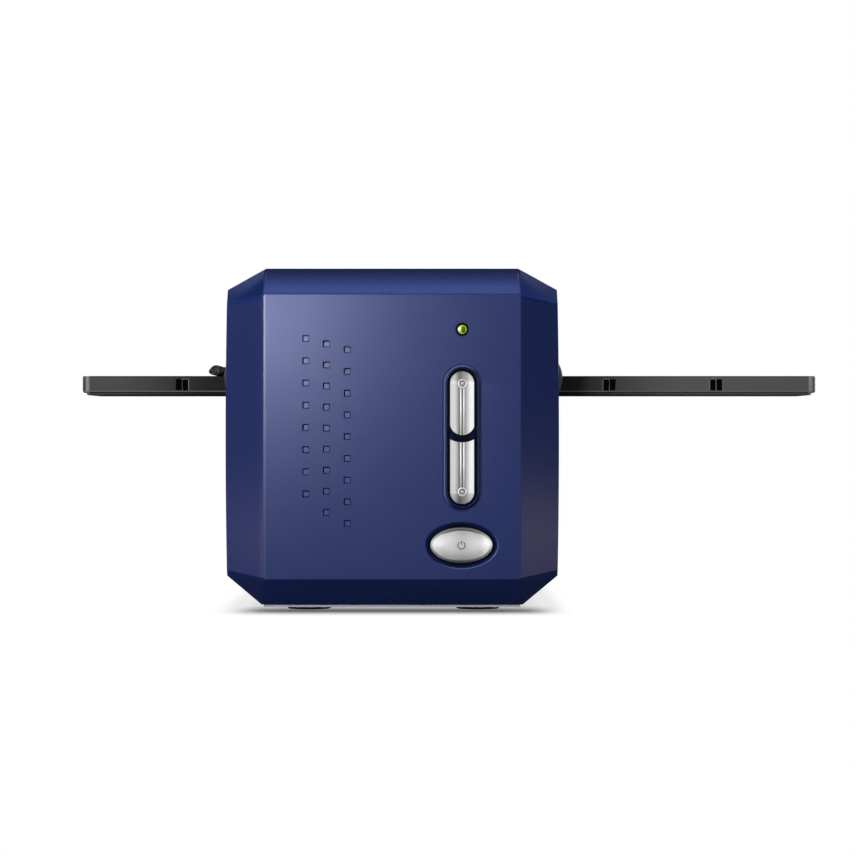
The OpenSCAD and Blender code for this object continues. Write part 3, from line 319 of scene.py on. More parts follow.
class Tree:
    """A node tree to which one method adds any node."""

    def __init__(self, tree):
        self.tree = tree

    def node(self, kind, settings=None, inputs=None, out=0):
        made = self.tree.nodes.new(kind)
        for key, value in (settings or {}).items():
            setattr(made, key, value)
        for key, value in (inputs or {}).items():
            if isinstance(value, Socket):
                self.tree.links.new(value.out, made.inputs[key])
            else:
                made.inputs[key].default_value = value
        return Socket(self, made.outputs[out]) if len(made.outputs) else made

    def rays(self):
        """1 for what the camera sees itself, and 1 for what it sees in gloss or glass."""
        path = self.node("ShaderNodeLightPath").all()
        return path["Is Camera Ray"], path["Is Glossy Ray"] + path["Is Transmission Ray"]


class Finish(Tree):
    """A material's tree, with the patterns that the finishes share."""

    def __init__(self, name):
        self.material = bpy.data.materials.new(name)
        self.material.use_nodes = True
        self.material.node_tree.nodes.clear()
        super().__init__(self.material.node_tree)

    def place(self):
        return self.node("ShaderNodeTexCoord", out="Object")

    def scaled(self, vector, share):
        """A colour or a place times a number."""
        return self.node("ShaderNodeVectorMath", {"operation": "SCALE"}, {0: vector, "Scale": share})

    def millimetres(self):
        """How far a point lies along X, Y and Z."""
        return self.scaled(self.place(), 1 / MM).parts()

    def noise(self, size_mm, detail=2.0, stretch=(1, 1, 1)):
        """Noise from 0 to 1 whose features are about size_mm across."""
        spot = self.node("ShaderNodeMapping", None, {"Vector": self.place(), "Scale": stretch})
        values = {"Vector": spot, "Scale": 1 / (size_mm * MM), "Detail": detail, "Roughness": 0.55}
        return self.node("ShaderNodeTexNoise", {"noise_dimensions": "3D"}, values)

    def mix(self, share, first, second):
        """Colour first at share 0, second at share 1."""
        return self.node("ShaderNodeMix", {"data_type": "RGBA"}, {0: share, 6: first, 7: second}, out=2)

    def bump(self, height, depth_mm):
        values = {"Height": height, "Strength": 1.0, "Distance": depth_mm * MM}
        return self.node("ShaderNodeBump", None, values)

    def surface(self, **values):
        """The closing shader, with sockets named in plain words."""
        names = {"colour": "Base Color", "metal": "Metallic", "rough": "Roughness", "normal": "Normal",
                 "specular": "Specular IOR Level", "coat": "Coat Weight", "coat_rough": "Coat Roughness",
                 "glow": "Emission Color", "glow_strength": "Emission Strength", "ior": "IOR",
                 "clear": "Transmission Weight", "sheen": "Sheen Weight", "sheen_rough": "Sheen Roughness"}
        shader = self.node("ShaderNodeBsdfPrincipled", None, {names[k]: v for k, v in values.items()})
        self.node("ShaderNodeOutputMaterial", None, {"Surface": shader})
        return self.material


# ---------------------------------------------------------------- finishes


def rgb(red, green, blue):
    """A colour written as it shows on a screen, 0 to 255, in linear light."""
    def linear(value):
        share = value / 255
        return share / 12.92 if share <= 0.04045 else ((share + 0.055) / 1.055) ** 2.4
    return (linear(red), linear(green), linear(blue), 1.0)


def times(colour, share):
    return tuple(c * share for c in colour[:3]) + (1.0,)


SHELL_DEEP = rgb(24, 42, 99)
SHELL_LIT = rgb(34, 53, 116)
# Painted highlight colour for light lines along edges
SHELL_PAINTED_HIGHLIGHT = rgb(150, 158, 190)
# Painted shadow colour for the gaps round the buttons
SHELL_GAP_SHADOW = rgb(7, 9, 22)
# Painted deep-blue reflection tint of each corner facet
FACET_REFLECTION_TINT = rgb(0, 60, 150)
CAP_BRIGHT = rgb(255, 255, 254)
# Painted shade colour for the grooves on the scan buttons
CAP_GROOVE_SHADE = rgb(40, 40, 40)
# Painted shadow colour along the caps' edges
CAP_EDGE_SHADOW = rgb(8, 10, 20)


def moulded(name, colour, rough, grain_mm=0.25, depth_mm=0.012, mottle=0.12, specular=0.5):
    """Moulded plastic: a fine spark-eroded grain, and colour and gloss that drift a little."""
    f = Finish(name)
    drift = f.noise(26, 3)
    speck = f.noise(grain_mm, 1.5)
    return f.surface(
        colour=f.mix(drift * 0.5 + speck * 0.5, times(colour, 1 - mottle), times(colour, 1 + mottle)),
        rough=drift * 0.06 + speck * 0.08 + (rough - 0.07),
        specular=specular,
        normal=f.bump(speck, depth_mm),
    )


def from_pill(x, z, radius=BUTTON_R, middle=BUTTON_X):
    """Distance outside the pill that both scan buttons fill, and the way there: across and up, -1 to 1."""
    across = x - middle
    over = (z - (UPPER_Z[1] - radius)).larger(0.0)
    under = (z - (LOWER_Z[0] + radius)).smaller(0.0)
    up = over + under
    far = length(across, up) + 0.001
    return far - radius, across / far, up / far


def shell_finish():
    """Blue satin shell with a fleck and a fine grain, painted shade in its recesses and gaps, and painted
    light and shade on its bevels, on each corner facet and on the collar.
    """
    f = Finish("blue_shell")
    fleck = f.noise(0.32, 1.0)
    grain = f.noise(0.5, 2.5)
    drift = f.noise(40, 2)
    x, y, z = f.millimetres()
    aside = abs(x)
    near_front = y < FRONT + WALL + 0.1
    left_edge = x.near(-FACE_X, 0.9) * (y < FRONT + 1.2)

    # Small squares: painted shade darkens the walls round a floor with a light coat
    among_squares = x.between(*SQUARES_ACROSS) * z.between(*SQUARES_UP)
    inset = among_squares * y.between(FRONT + 0.03, FRONT + SQUARE_DEPTH + 0.05)
    floor = inset * (y > FRONT + SQUARE_DEPTH - 0.05)
    walls = (inset - floor) * 0.6

    # Bevels: painted light along the upper one's front edge, painted shade towards its top, and painted
    # shade on the lower one
    back = y.ramp(FRONT, FRONT + TOP_BEVEL[0])
    beyond = y.ramp(FRONT + TOP_BEVEL[0], FRONT + 2.2 * TOP_BEVEL[0])
    on_bevel = z.ramp(FACE_TOP - 0.2, FACE_TOP + 0.3) * aside.ramp(FACE_X + 0.2, FACE_X - 0.4)
    low = z.ramp(FACE_LOW + 0.2, FACE_LOW - 0.3) * 0.2
    bevel = on_bevel * (0.7 - back * 1.3 + beyond * 0.6) - low

    # Corner facet on each side: a painted deep-blue reflection tint with painted shade, and painted light
    # along a less metallic rim at its outer edges
    inner, upper, outer = facet_points(1, *UPPER_FACET)
    out = (outer - inner).cross(upper - inner).normalized()
    on_facet = (aside * out.x + y * out.y + z * out.z).bell(out.dot(inner), 0.9)
    on_facet = on_facet * (z > FACE_TOP - 4) * (aside > FACE_X)
    rim = (aside * RIM_WAY[0] + z * RIM_WAY[1]).ramp(RIM_REACH - 3.6, RIM_REACH - 0.3)
    rim = rim * z.ramp(FACE_TOP - CORNER_RUN, TOP - 3, 0.3, 1.0)
    painted_facet_shading = on_facet * (rim - 0.6)

    # Collar round the scan buttons: painted light on its upper left, painted shade on its lower right
    away, sideways, up = from_pill(x, z)
    lit = (up * 0.7 - sideways * 0.7).ramp(-0.25, 0.45)
    painted_collar_shading = away.bell(1.85, 0.4) * lit * 0.4 + away.bell(3.05, 0.4) * lit * 0.25
    painted_collar_shading = painted_collar_shading - away.bell(2.45, 0.4) * 0.4 - away.bell(1.25, 0.5) * lit * 0.5
    painted_collar_shading = painted_collar_shading - away.bell(1.45, 0.8) * (1.0 - lit) * 0.75
    # Sides of the bridge between the caps, where the painted gap shadow is lighter
    bridge = away.ramp(-0.1, -0.5) * square(x - BUTTON_X).ramp(4, 16, 0.0, 0.35)
    # Painted shade in the dish round the scan buttons, deeper at its top
    painted_well_shade = away.ramp(1.0, 0.5) * 0.6 + away.ramp(1.5, 1.1) * up.ramp(0.3, 0.8) * 0.3

    # Recess round the power button: off is the distance outside the oval. Painted shade fills the recess,
    # and a painted highlight runs along its lower right
    across = (x - POWER_X) / POWER_SIZE[0]
    rise = (z - POWER_Z) / POWER_SIZE[1]
    oval = length(across, rise) + 0.001
    off = (oval - 1.0) / oval * length(x - POWER_X, z - POWER_Z)
    painted_well_shade = painted_well_shade + off.ramp(1.0, 0.5) * 0.8 + off.bell(1.1, 0.7) * 0.35
    low_right = (across * 0.7 - rise * 0.7).ramp(0.0, 0.7)

    # Painted near-black shadow in the gaps round the three buttons
    painted_gap_shadow = away.ramp(0.9, 0.5).larger(off.ramp(1.2, 0.8)) * near_front
    # Painted highlights on the collar's raised edge and along the lower right of the power recess
    painted_edge_highlight = (away.bell(1.8, 0.4) * lit * 0.45 + off.bell(1.95, 0.3) * low_right * 0.3) * near_front
    # Painted light and shade scale the colour; the painted facet tint, gap shadow and edge highlights are
    # mixed in after
    tone = 1.0 + painted_facet_shading + bevel + (painted_collar_shading - painted_well_shade) * near_front - walls
    body = f.scaled(f.mix(fleck * 0.7 + drift * 0.3, SHELL_DEEP, SHELL_LIT), tone)
    # Painted reflection tint on each corner facet away from its rim
    body = f.mix(on_facet * (1.0 - rim) * 0.9, body, FACET_REFLECTION_TINT)
    body = f.mix(painted_gap_shadow * (1.0 - bridge), body, SHELL_GAP_SHADOW)
    return f.surface(
        colour=f.mix(painted_edge_highlight + on_facet * rim * 0.12, body, SHELL_PAINTED_HIGHLIGHT),
        rough=grain * 0.08 + drift * 0.04 + 0.20 + walls * 1.5,
        metal=painted_gap_shadow * 0.9 + on_facet * (1.0 - rim * 0.6) * 0.75 + 0.08,
        specular=0.20,
        coat=left_edge * 0.3 + floor * 0.22 + on_bevel * (1.0 - back) ** 3.0,
        coat_rough=0.25,
        normal=f.bump(grain * 0.6 + fleck * 0.4, 0.022),
    )


def cap_metal(f, grain_mm, detail, cloud_mm, dim, tone, rough):
    """Colour, roughness and bump of a cap's satin metal, scaled over the cap by tone, its painted light and
    shade.
    """
    speck = f.noise(grain_mm, detail)
    cloud = f.noise(cloud_mm, 2)
    colour = f.scaled(f.mix(speck * 0.7 + cloud * 0.3, dim, CAP_BRIGHT), tone)
    return colour, speck * 0.14 + cloud * 0.06 + rough, f.bump(speck, 0.012)


def button_finish():
    """Satin metal with a fine speckle, painted shade in the grooves beside the ribs and round the ball,
    painted light over the cap, and a painted shadow along its edge.
    """
    f = Finish("button_metal")
    x, _, z = f.millimetres()
    aside = abs(x - BUTTON_X)
    upper_ring, lower_ring = RING_Z
    from_ring = length(aside, z - upper_ring).smaller(length(aside, z - lower_ring))
    inner = z.between(lower_ring, upper_ring)
    outside = from_ring.ramp(RING_R + 0.18, RING_R + 0.28) * inner
    # Painted shade in the grooves beside the ribs and round the ball and the ring
    moat = from_ring.near(0.82, 0.2) + from_ring.near(RING_R + 0.4, 0.12) * 0.5
    grooves = (aside < 0.24) + aside.near(0.93, 0.10) * 0.6
    dark = (grooves * outside).larger(moat)
    # Painted light over the cap: brighter towards its flanks, on its right side and beyond the rings, and
    # full on the ribs and the ring
    raised = (from_ring < RING_R + 0.34) + outside * (aside < 0.88)
    right = x.ramp(BUTTON_X - 1, BUTTON_X + 1)
    tone = aside.ramp(0.6, 3.0) ** 1.3 * 0.62 + right * 0.34 + 0.1 + (1.0 - inner) * 0.12
    tone = tone * (1.0 - raised) + raised
    ends = z.ramp(upper_ring, upper_ring + 1.2) + z.ramp(lower_ring, lower_ring - 1.2)
    # Painted dark shadow along the edge of each cap
    edge_shadow = from_pill(x, z, CAP_SEEN_R, CAP_SEEN_X)[0].ramp(-0.1, 0.0)
    colour, rough, normal = cap_metal(f, 0.22, 1.0, 3.5, rgb(208, 208, 207), tone, 0.34)
    colour = f.mix(edge_shadow, f.mix(dark * 0.9, colour, CAP_GROOVE_SHADE), CAP_EDGE_SHADOW)
    return f.surface(colour=colour, rough=rough, metal=0.85 - ends * 0.75, specular=0.5, normal=normal)


def power_finish():
    """Satin metal with painted light that is brightest at the oval's two ends, with a painted dark line
    below its upper edge and painted shade along its foot.
    """
    f = Finish("power_metal")
    x, _, z = f.millimetres()
    across = (x - POWER_X) / POWER_SIZE[0]
    up = (z - POWER_Z) / POWER_SIZE[1]
    # Painted light and shade: a dark line below the upper edge, shade along the foot and on the left, light
    # at both ends, lower down and at the right end
    painted_upper_shade = length(across, up).bell(0.86, 0.07) * up.ramp(0.55, 0.75)
    foot = up.ramp(-0.72, -0.95)
    tone = (abs(across) ** 1.4 * 0.5 + 0.5) * (1.0 - painted_upper_shade * 0.75) * (1.0 - foot * 0.35)
    tone = tone * (1.0 - across.ramp(-0.1, -0.8) * 0.12) * up.ramp(0.6, -0.6, 0.95, 1.25)
    tone = tone * across.ramp(0.55, 0.85, 1.0, 1.35)
    colour, rough, normal = cap_metal(f, 0.3, 1.5, 5, rgb(206, 206, 205), tone, 0.42)
    return f.surface(colour=colour, rough=rough, metal=0.85, specular=0.5, normal=normal)


def holder_finish():
    """Black moulding with fine lines along it, painted shadow in its notches and under its runner, painted
    highlights along some edges, and painted light towards its smoother ends.
    """
    f = Finish("holder_plastic")
    lines = f.noise(0.28, 2, (0.02, 1, 1))
    speck = f.noise(0.3, 1.5)
    x, y, z = f.millimetres()
    from_end = TRAY_HALF - abs(x - TRAY_X)
    first = HOLDER_X + NOTCH_SHIFT - FRAME_COUNT * FRAME_PITCH / 2
    towards_middle = ((x - first) % FRAME_PITCH - FRAME_PITCH / 2) * x < 0.0
    beside = (from_end > 6.0) * (z > NOTCH_Z - NOTCH[2] / 2 - 0.4)
    # Painted near-black shadow inside the notches
    notch = y.between(tray_low.y + 0.28, tray_low.y + NOTCH[1] + 0.1) * beside
    # Painted highlight on the edge of the notch nearer the middle in each pair
    notch_edge_highlight = y.between(tray_low.y + 0.01, tray_low.y + 0.28) * beside
    notch_edge_highlight = notch_edge_highlight * towards_middle * z.between(RUNNER_TOP + 1.0, NOTCH_Z + NOTCH[2] / 2 + 0.4)
    right = x > 0.0
    ends = abs(x).ramp(60, 105)
    # Painted highlight along the step above the runner, and painted shade under the runner
    ledge_highlight = z.bell(RUNNER_TOP + 0.55, 0.4)
    under = z < RUNNER_TOP + 0.2
    black = f.mix(lines * 0.8 + speck * 0.2, rgb(15, 15, 16), rgb(34, 34, 35))
    # Painted light growing towards the ends, stronger on the right, painted highlights on the rounded ends,
    # the notch edges and the step above the runner, and painted shade under the runner
    painted_light_and_shade = f.mix(ends * (right * 0.4 + 0.25), black, rgb(84, 84, 85))
    painted_light_and_shade = f.mix(from_end.bell(1.9, 1.2) * 0.9, painted_light_and_shade, rgb(165, 165, 165))
    painted_light_and_shade = f.mix(notch_edge_highlight + ledge_highlight * 0.8, painted_light_and_shade, rgb(140, 140, 140))
    painted_light_and_shade = f.mix(under * 0.3, painted_light_and_shade, rgb(3, 3, 3))
    return f.surface(
        colour=f.mix(notch, painted_light_and_shade, rgb(2, 2, 2)),
        rough=speck * 0.1 + 0.5 + notch * 0.4,
        specular=0.14,
        coat=ends * (1.0 - notch) * (right * 0.55 + 0.4),
        coat_rough=0.4,
        normal=f.bump(lines * 0.7 + speck * 0.3, 0.02),
    )


def brushed(name, colour, rough, stretch, depth_mm=0.004):
    """Brushed or satin metal: long scratches along one axis."""
    f = Finish(name)
    scratch = f.noise(0.9, 3, stretch)
    cloud = f.noise(6, 2)
    return f.surface(
        colour=f.mix(scratch * 0.6 + cloud * 0.4, times(colour, 0.86), colour),
        rough=scratch * 0.12 + cloud * 0.06 + (rough - 0.09),
        metal=1.0,
        normal=f.bump(scratch, depth_mm),
    )


def rubber(name, colour):
    """Matt rubber with fine pores and a little dust."""
    f = Finish(name)
    pore = f.noise(0.35, 3)
    dust = f.noise(7, 4)
    return f.surface(
        colour=f.mix(dust, colour, times(colour, 1.7)),
        rough=pore * 0.12 + 0.72,
        specular=0.3,
        normal=f.bump(pore, 0.03),
    )


def board(name):
    """Circuit board: solder mask with traces showing through."""
    f = Finish(name)
    weave = f.noise(0.4, 2, (1, 1, 6))
    cells = {"Vector": f.place(), "Scale": 1 / (2.6 * MM)}
    line = f.node("ShaderNodeTexVoronoi", {"feature": "DISTANCE_TO_EDGE"}, cells) < 0.06
    return f.surface(
        colour=f.mix(line, rgb(12, 84, 44), rgb(42, 128, 66)),
        rough=weave * 0.15 + 0.32,
        normal=f.bump(line * 0.6 + weave * 0.2, 0.02),
    )


def glowing_lens():
    """Lit status light: yellow-green, with a painted highlight on the left, and a dark oval right of the
    middle.
    """
    f = Finish("status_light")
    cloud = f.noise(0.5, 2)
    x, _, z = f.millimetres()
    across = x - BUTTON_X
    up = z - LIGHT_Z
    chip = (square((across - 0.4) / 0.72) + square((up + 0.1) / 1.1)).ramp(1.5, 0.8)
    # Painted highlight on the left of the lens
    left = across.ramp(-0.3, -1.0) * up.bell(0.2, 1.2)
    pale = f.mix(left, rgb(150, 176, 24), rgb(255, 255, 235))
    hue = f.mix(chip * 0.9, f.mix(cloud * 0.3, pale, rgb(196, 214, 52)), rgb(50, 70, 0))
    hue = f.mix(length(across, up).ramp(1.42, 1.6), hue, rgb(4, 8, 2))
    return f.surface(colour=hue, glow=hue, glow_strength=0.5, rough=cloud * 0.05 + 0.12, specular=0.2)


def clear_glass(name, colour):
    """Clear glass with faint smears."""
    f = Finish(name)
    smear = f.noise(5, 3)
    return f.surface(colour=colour, clear=1.0, ior=1.5, rough=smear * 0.03 + 0.01)


def flocked():
    """Short pile on the dust flaps."""
    f = Finish("flap_pile")
    pile = f.noise(0.5, 2.0)
    lint = f.noise(0.9, 3)
    tone = f.mix(lint.ramp(0.35, 0.65), rgb(8, 8, 9), rgb(40, 40, 42))
    return f.surface(
        # Light specks on the pile are painted glints
        colour=f.mix(pile.ramp(0.52, 0.68), tone, rgb(120, 120, 123)),
        rough=pile * 0.2 + 0.7,
        specular=0.3,
        sheen=0.1,
        sheen_rough=0.4,
        normal=f.bump(pile, 0.25),
    )


def cable_stripes(name):
    """White flat cable with its conductors showing faintly."""
    f = Finish(name)
    bands = {"Vector": f.place(), "Scale": 1 / (3.2 * MM), "Distortion": 0.0}
    wave = f.node("ShaderNodeTexWave", {"wave_type": "BANDS", "bands_direction": "X"}, bands)
    grime = f.noise(9, 3)
    return f.surface(
        colour=f.mix(wave * 0.5 + grime * 0.2, rgb(226, 228, 230), rgb(176, 182, 190)),
        rough=grime * 0.1 + 0.4,
        normal=f.bump(wave, 0.03),
    )


FINISHES = {
    "blue_shell": shell_finish(),
    "base_plastic": moulded("base_plastic", rgb(232, 235, 244), 0.5, mottle=0.04),
    "black_plastic": moulded("black_plastic", rgb(40, 40, 41), 0.46, grain_mm=0.3, depth_mm=0.02,
                             specular=0.45),
    "bezel_plastic": moulded("bezel_plastic", rgb(44, 44, 46), 0.42),
    "lid_plastic": moulded("lid_plastic", rgb(58, 58, 60), 0.4),
    "foot_rubber": rubber("foot_rubber", rgb(12, 12, 13)),
    "button_metal": button_finish(),
    "power_metal": power_finish(),
    "holder_plastic": holder_finish(),
    "status_lens": glowing_lens(),
    "white_plastic": moulded("white_plastic", rgb(226, 226, 220), 0.42, mottle=0.04),
    "board_green": board("board_green"),
    "chip_black": moulded("chip_black", rgb(30, 30, 32), 0.55, grain_mm=0.15),
    "sheet_steel": brushed("sheet_steel", rgb(178, 181, 184), 0.38, (0.15, 1, 1)),
    "polished_steel": brushed("polished_steel", rgb(205, 207, 209), 0.2, (1, 0.1, 1)),
    "screw_steel": brushed("screw_steel", rgb(138, 139, 142), 0.36, (1, 1, 1)),
    "bronze": brushed("bronze", rgb(198, 160, 92), 0.42, (1, 0.3, 1)),
    "spring_steel": brushed("spring_steel", rgb(196, 188, 160), 0.28, (0.1, 1, 1)),
    "aluminium": brushed("aluminium", rgb(212, 214, 216), 0.34, (0.1, 1, 1)),
    "mirror": brushed("mirror", rgb(238, 240, 242), 0.1, (1, 1, 1), depth_mm=0.0002),
    "lens_glass": clear_glass("lens_glass", rgb(226, 238, 250)),
    "belt_rubber": rubber("belt_rubber", rgb(30, 30, 31)),
    "cable_white": cable_stripes("cable_white"),
    "flap_pile": flocked(),
    "sleeve_black": moulded("sleeve_black", rgb(6, 7, 6), 0.7, specular=0.1),
    "marking": moulded("marking", rgb(70, 72, 78), 0.6, grain_mm=0.1, depth_mm=0.003),
}

# ---------------------------------------------------------------- mesh helpers


def link(name, mesh):
    obj = bpy.data.objects.new(name, mesh)
    scene.collection.objects.link(obj)
    return obj


def solid(name, bm):
    """An object at the origin from a closed bmesh in millimetres, with its faces turned outwards."""
    bmesh.ops.recalc_face_normals(bm, faces=bm.faces[:])
    mesh = bpy.data.meshes.new(name)
    bm.to_mesh(mesh)
    bm.free()
    mesh.transform(Matrix.Scale(MM, 4))
    return link(name, mesh)


def loft(rings, bm=None):
    """A closed solid through rings that all have the same number of points."""
    bm = bm or bmesh.new()
    made = [[bm.verts.new(p) for p in ring] for ring in rings]
    count = len(made[0])
    for one, two in zip(made, made[1:]):
        for i in range(count):
            j = (i + 1) % count
            bm.faces.new((one[i], one[j], two[j], two[i]))
    bm.faces.new(made[0][::-1])
    bm.faces.new(made[-1])
    return bm


def lathe(profile, centre, axis, steps=48, bm=None):
    """A turned solid: profile is (radius, distance along the axis) from one end to the other."""
    turn = Vector((0, 0, 1)).rotation_difference(Vector(axis)).to_matrix()
    circle = [(math.cos(2 * math.pi * i / steps), math.sin(2 * math.pi * i / steps)) for i in range(steps)]
    rings = [[Vector(centre) + turn @ Vector((r * c, r * s, h)) for c, s in circle] for r, h in profile]
    return loft(rings, bm)


def settled(obj):
    """The object with its modifiers worked into a plain mesh."""
    graph = bpy.context.evaluated_depsgraph_get()
    done = obj.evaluated_get(graph)
    mesh = bpy.data.meshes.new_from_object(done, preserve_all_data_layers=True, depsgraph=graph)
    obj.modifiers.clear()
    obj.data = mesh
    return obj


def combined(obj, other, operation="DIFFERENCE"):
    """obj with other cut away from it or joined to it; other is used up."""
    modifier = obj.modifiers.new("Cut", "BOOLEAN")
    modifier.operation = operation
    modifier.solver = "EXACT"
    modifier.object = other
    settled(obj)
    bpy.data.objects.remove(other)
    return obj


def gathered(obj, *others):
    """obj with the meshes of others added; they are used up."""
    bm = bmesh.new()
    for o in (obj, *others):
        bm.from_mesh(o.data)
    bm.to_mesh(obj.data)
    bm.free()
    for o in others:
        bpy.data.objects.remove(o)
    return obj


def smoothed(obj, angle=34):
    """Smooth shading that keeps flat faces flat and creases sharp."""
    for polygon in obj.data.polygons:
        polygon.use_smooth = True
    obj.data.set_sharp_from_angle(angle=math.radians(angle))
    modifier = obj.modifiers.new("Flat faces", "WEIGHTED_NORMAL")
    modifier.keep_sharp = True
    modifier.weight = 80
    return settled(obj)


def piece(obj, body, finish, slot, *nodes):
    """Dresses a finished object and lets it ride on a body in place of CAD nodes."""
    obj.data.materials.clear()
    obj.data.materials.append(FINISHES[finish])
    for polygon in obj.data.polygons:
        polygon.material_index = 0
    if nodes:
        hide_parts(*nodes)
    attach(obj, body)
    return obj


# Outlines in a plane, each a list of (u, v); grow moves the outline outwards


def arc(cx, cz, radius, start, end, steps=20):
    """Points on a circle from one angle to another, in degrees."""
    turns = [math.radians(start + (end - start) * i / steps) for i in range(steps + 1)]
    return [(cx + radius * math.cos(t), cz + radius * math.sin(t)) for t in turns]


def pill_outline(low, high, grow):
    """An upright pill of the scan buttons' width."""
    top = arc(BUTTON_X, high - BUTTON_R, BUTTON_R + grow, 0, 180)
    return top + arc(BUTTON_X, low + BUTTON_R, BUTTON_R + grow, 180, 360)


def pair_outline(grow):
    """The pill that both scan buttons fill."""
    return pill_outline(LOWER_Z[0], UPPER_Z[1], grow)


def upper_outline(grow):
    return pill_outline(*UPPER_Z, grow)


def lower_outline(grow):
    """The lower button's outline: round below, with a hollow top that follows the upper button."""
    low, high = LOWER_Z
    centre = high + DIP_RISE
    reach = math.degrees(math.asin((BUTTON_R + grow) / (DIP_R - grow)))
    hollow = arc(BUTTON_X, centre, DIP_R - grow, 270 + reach, 270 - reach)
    return hollow + arc(BUTTON_X, low + BUTTON_R, BUTTON_R + grow, 180, 360)


def power_outline(grow, steps=64):
    """The power button's oval."""
    turns = [2 * math.pi * i / steps for i in range(steps)]
    half_w, half_h = POWER_SIZE[0] + grow, POWER_SIZE[1] + grow
    return [(half_w * math.cos(t) + POWER_X, half_h * math.sin(t) + POWER_Z) for t in turns]


def round_rect(half_u, half_v, radius, grow, cu=0.0, cv=0.0, steps=6):
    """A rectangle with round corners about (cu, cv)."""
    r = max(radius + grow, 0.02)
    u, v = half_u + grow - r, half_v + grow - r
    corners = ((u, v, 0), (-u, v, 90), (-u, -v, 180), (u, -v, 270))
    return [p for x, y, a in corners for p in arc(cu + x, cv + y, r, a, a + 90, steps)]


def facing_front(outline, profile):
    """Rings of an outline that stands in the front face; profile is (grow, depth behind the face)."""
    return [[(u, FRONT + depth, v) for u, v in outline(grow)] for grow, depth in profile]


# ---------------------------------------------------------------- copies in a row


def row_tree():
    """Geometry nodes that set copies of one piece in a straight row."""
    group = bpy.data.node_groups.new("Row of copies", "GeometryNodeTree")
    group.is_modifier = True
    kinds = {"Piece": "NodeSocketObject", "Count": "NodeSocketInt", "Start": "NodeSocketVector",
             "Step": "NodeSocketVector", "Turn": "NodeSocketFloat", "Finish": "NodeSocketMaterial"}
    ids = {}
    for name, kind in kinds.items():
        ids[name] = group.interface.new_socket(name, in_out="INPUT", socket_type=kind).identifier
    group.interface.new_socket("Geometry", in_out="OUTPUT", socket_type="NodeSocketGeometry")
    t = Tree(group)
    value = t.node("NodeGroupInput").all()
    line = t.node("GeometryNodeMeshLine", {"mode": "OFFSET"},
                  {"Count": value["Count"], "Start Location": value["Start"], "Offset": value["Step"]})
    shape = t.node("GeometryNodeObjectInfo", None, {"Object": value["Piece"]}, out="Geometry")
    index = t.node("GeometryNodeInputIndex")
    turn = t.node("ShaderNodeCombineXYZ", None, {2: index * value["Turn"]})
    spread = {"Points": line, "Instance": shape, "Rotation": turn}
    copies = t.node("GeometryNodeInstanceOnPoints", None, spread)
    real = t.node("GeometryNodeRealizeInstances", None, {"Geometry": copies})
    dressed = t.node("GeometryNodeSetMaterial", None, {"Geometry": real, "Material": value["Finish"]})
    t.node("NodeGroupOutput", None, {"Geometry": dressed})
    return group, ids


ROW, ROW_INPUTS = row_tree()


def row(name, shape, count, start, step, finish="blue_shell", turn=0.0):
    """A plain mesh of count copies of shape, from start on, in millimetres."""
    obj = link(name, bpy.data.meshes.new(name))
    modifier = obj.modifiers.new("Row", "NODES")
    modifier.node_group = ROW
    values = {"Piece": shape, "Count": count, "Start": Vector(start) * MM, "Step": Vector(step) * MM,
              "Turn": turn, "Finish": FINISHES[finish]}
    for key, value in values.items():
        modifier[ROW_INPUTS[key]] = value
    obj.update_tag()
    return settled(obj)


def cut_rows(obj, shape, rows):
    """Cuts rows of a shape from obj, each a count, a start and a step; the shape is used up."""
    for count, start, step in rows:
        combined(obj, row("cutters", shape, count, start, step))
    bpy.data.objects.remove(shape)


# ---------------------------------------------------------------- housing


def unit(x, y, z):
    return Vector((x, y, z)).normalized()


def plane_through(a, b, c, outward):
    """A plane through three points: one of them, and the direction away from it on the outward side."""
    normal = (b - a).cross(c - a).normalized()
    return a, normal if normal.dot(Vector(outward)) > 0 else -normal


def housing_planes(inset, from_y, to_y):
    """The housing's flat faces as points and outward directions, moved inwards by inset."""
    planes = [
        (Vector((0, FRONT, FACE_TOP)), unit(0, -TOP_BEVEL[1], TOP_BEVEL[0])),
        (Vector((0, FRONT, FACE_LOW)), unit(0, -BOTTOM_BEVEL[1], -BOTTOM_BEVEL[0])),
        (Vector((0, REAR, TOP - REAR_BEVEL)), unit(0, 1, 1)),
        (Vector((0, REAR, BASE + REAR_BEVEL)), unit(0, 1, -1)),
        (Vector((0, FRONT, 0)), unit(0, -1, 0)),
        (Vector((0, REAR, 0)), unit(0, 1, 0)),
        (Vector((0, 0, TOP)), unit(0, 0, 1)),
        (Vector((0, 0, BASE)), unit(0, 0, -1)),
    ]
    for s in (-1, 1):
        planes += [
            (Vector((s * SIDE, 0, 0)), unit(s, 0, 0)),
            (Vector((s * FACE_X, FRONT, 0)), unit(s * SIDE_BEVEL[1], -SIDE_BEVEL[0], 0)),
            (Vector((s * (SIDE - REAR_BEVEL), REAR, 0)), unit(s, 1, 0)),
            (Vector((s * (SIDE - TOP_CUT[0]), 0, TOP)), unit(s * TOP_CUT[1], 0, TOP_CUT[0])),
            (Vector((s * (SIDE - BOTTOM_CUT[0]), 0, BASE)), unit(s * BOTTOM_CUT[1], 0, -BOTTOM_CUT[0])),
            plane_through(*facet_points(s, *UPPER_FACET), (s, -1, 1)),
            plane_through(*facet_points(s, *LOWER_FACET), (s, -1, -1)),
        ]
    moved = [(point - inset * normal, normal) for point, normal in planes]
    return moved + [(Vector((0, from_y, 0)), Vector((0, -1, 0))), (Vector((0, to_y, 0)), Vector((0, 1, 0)))]


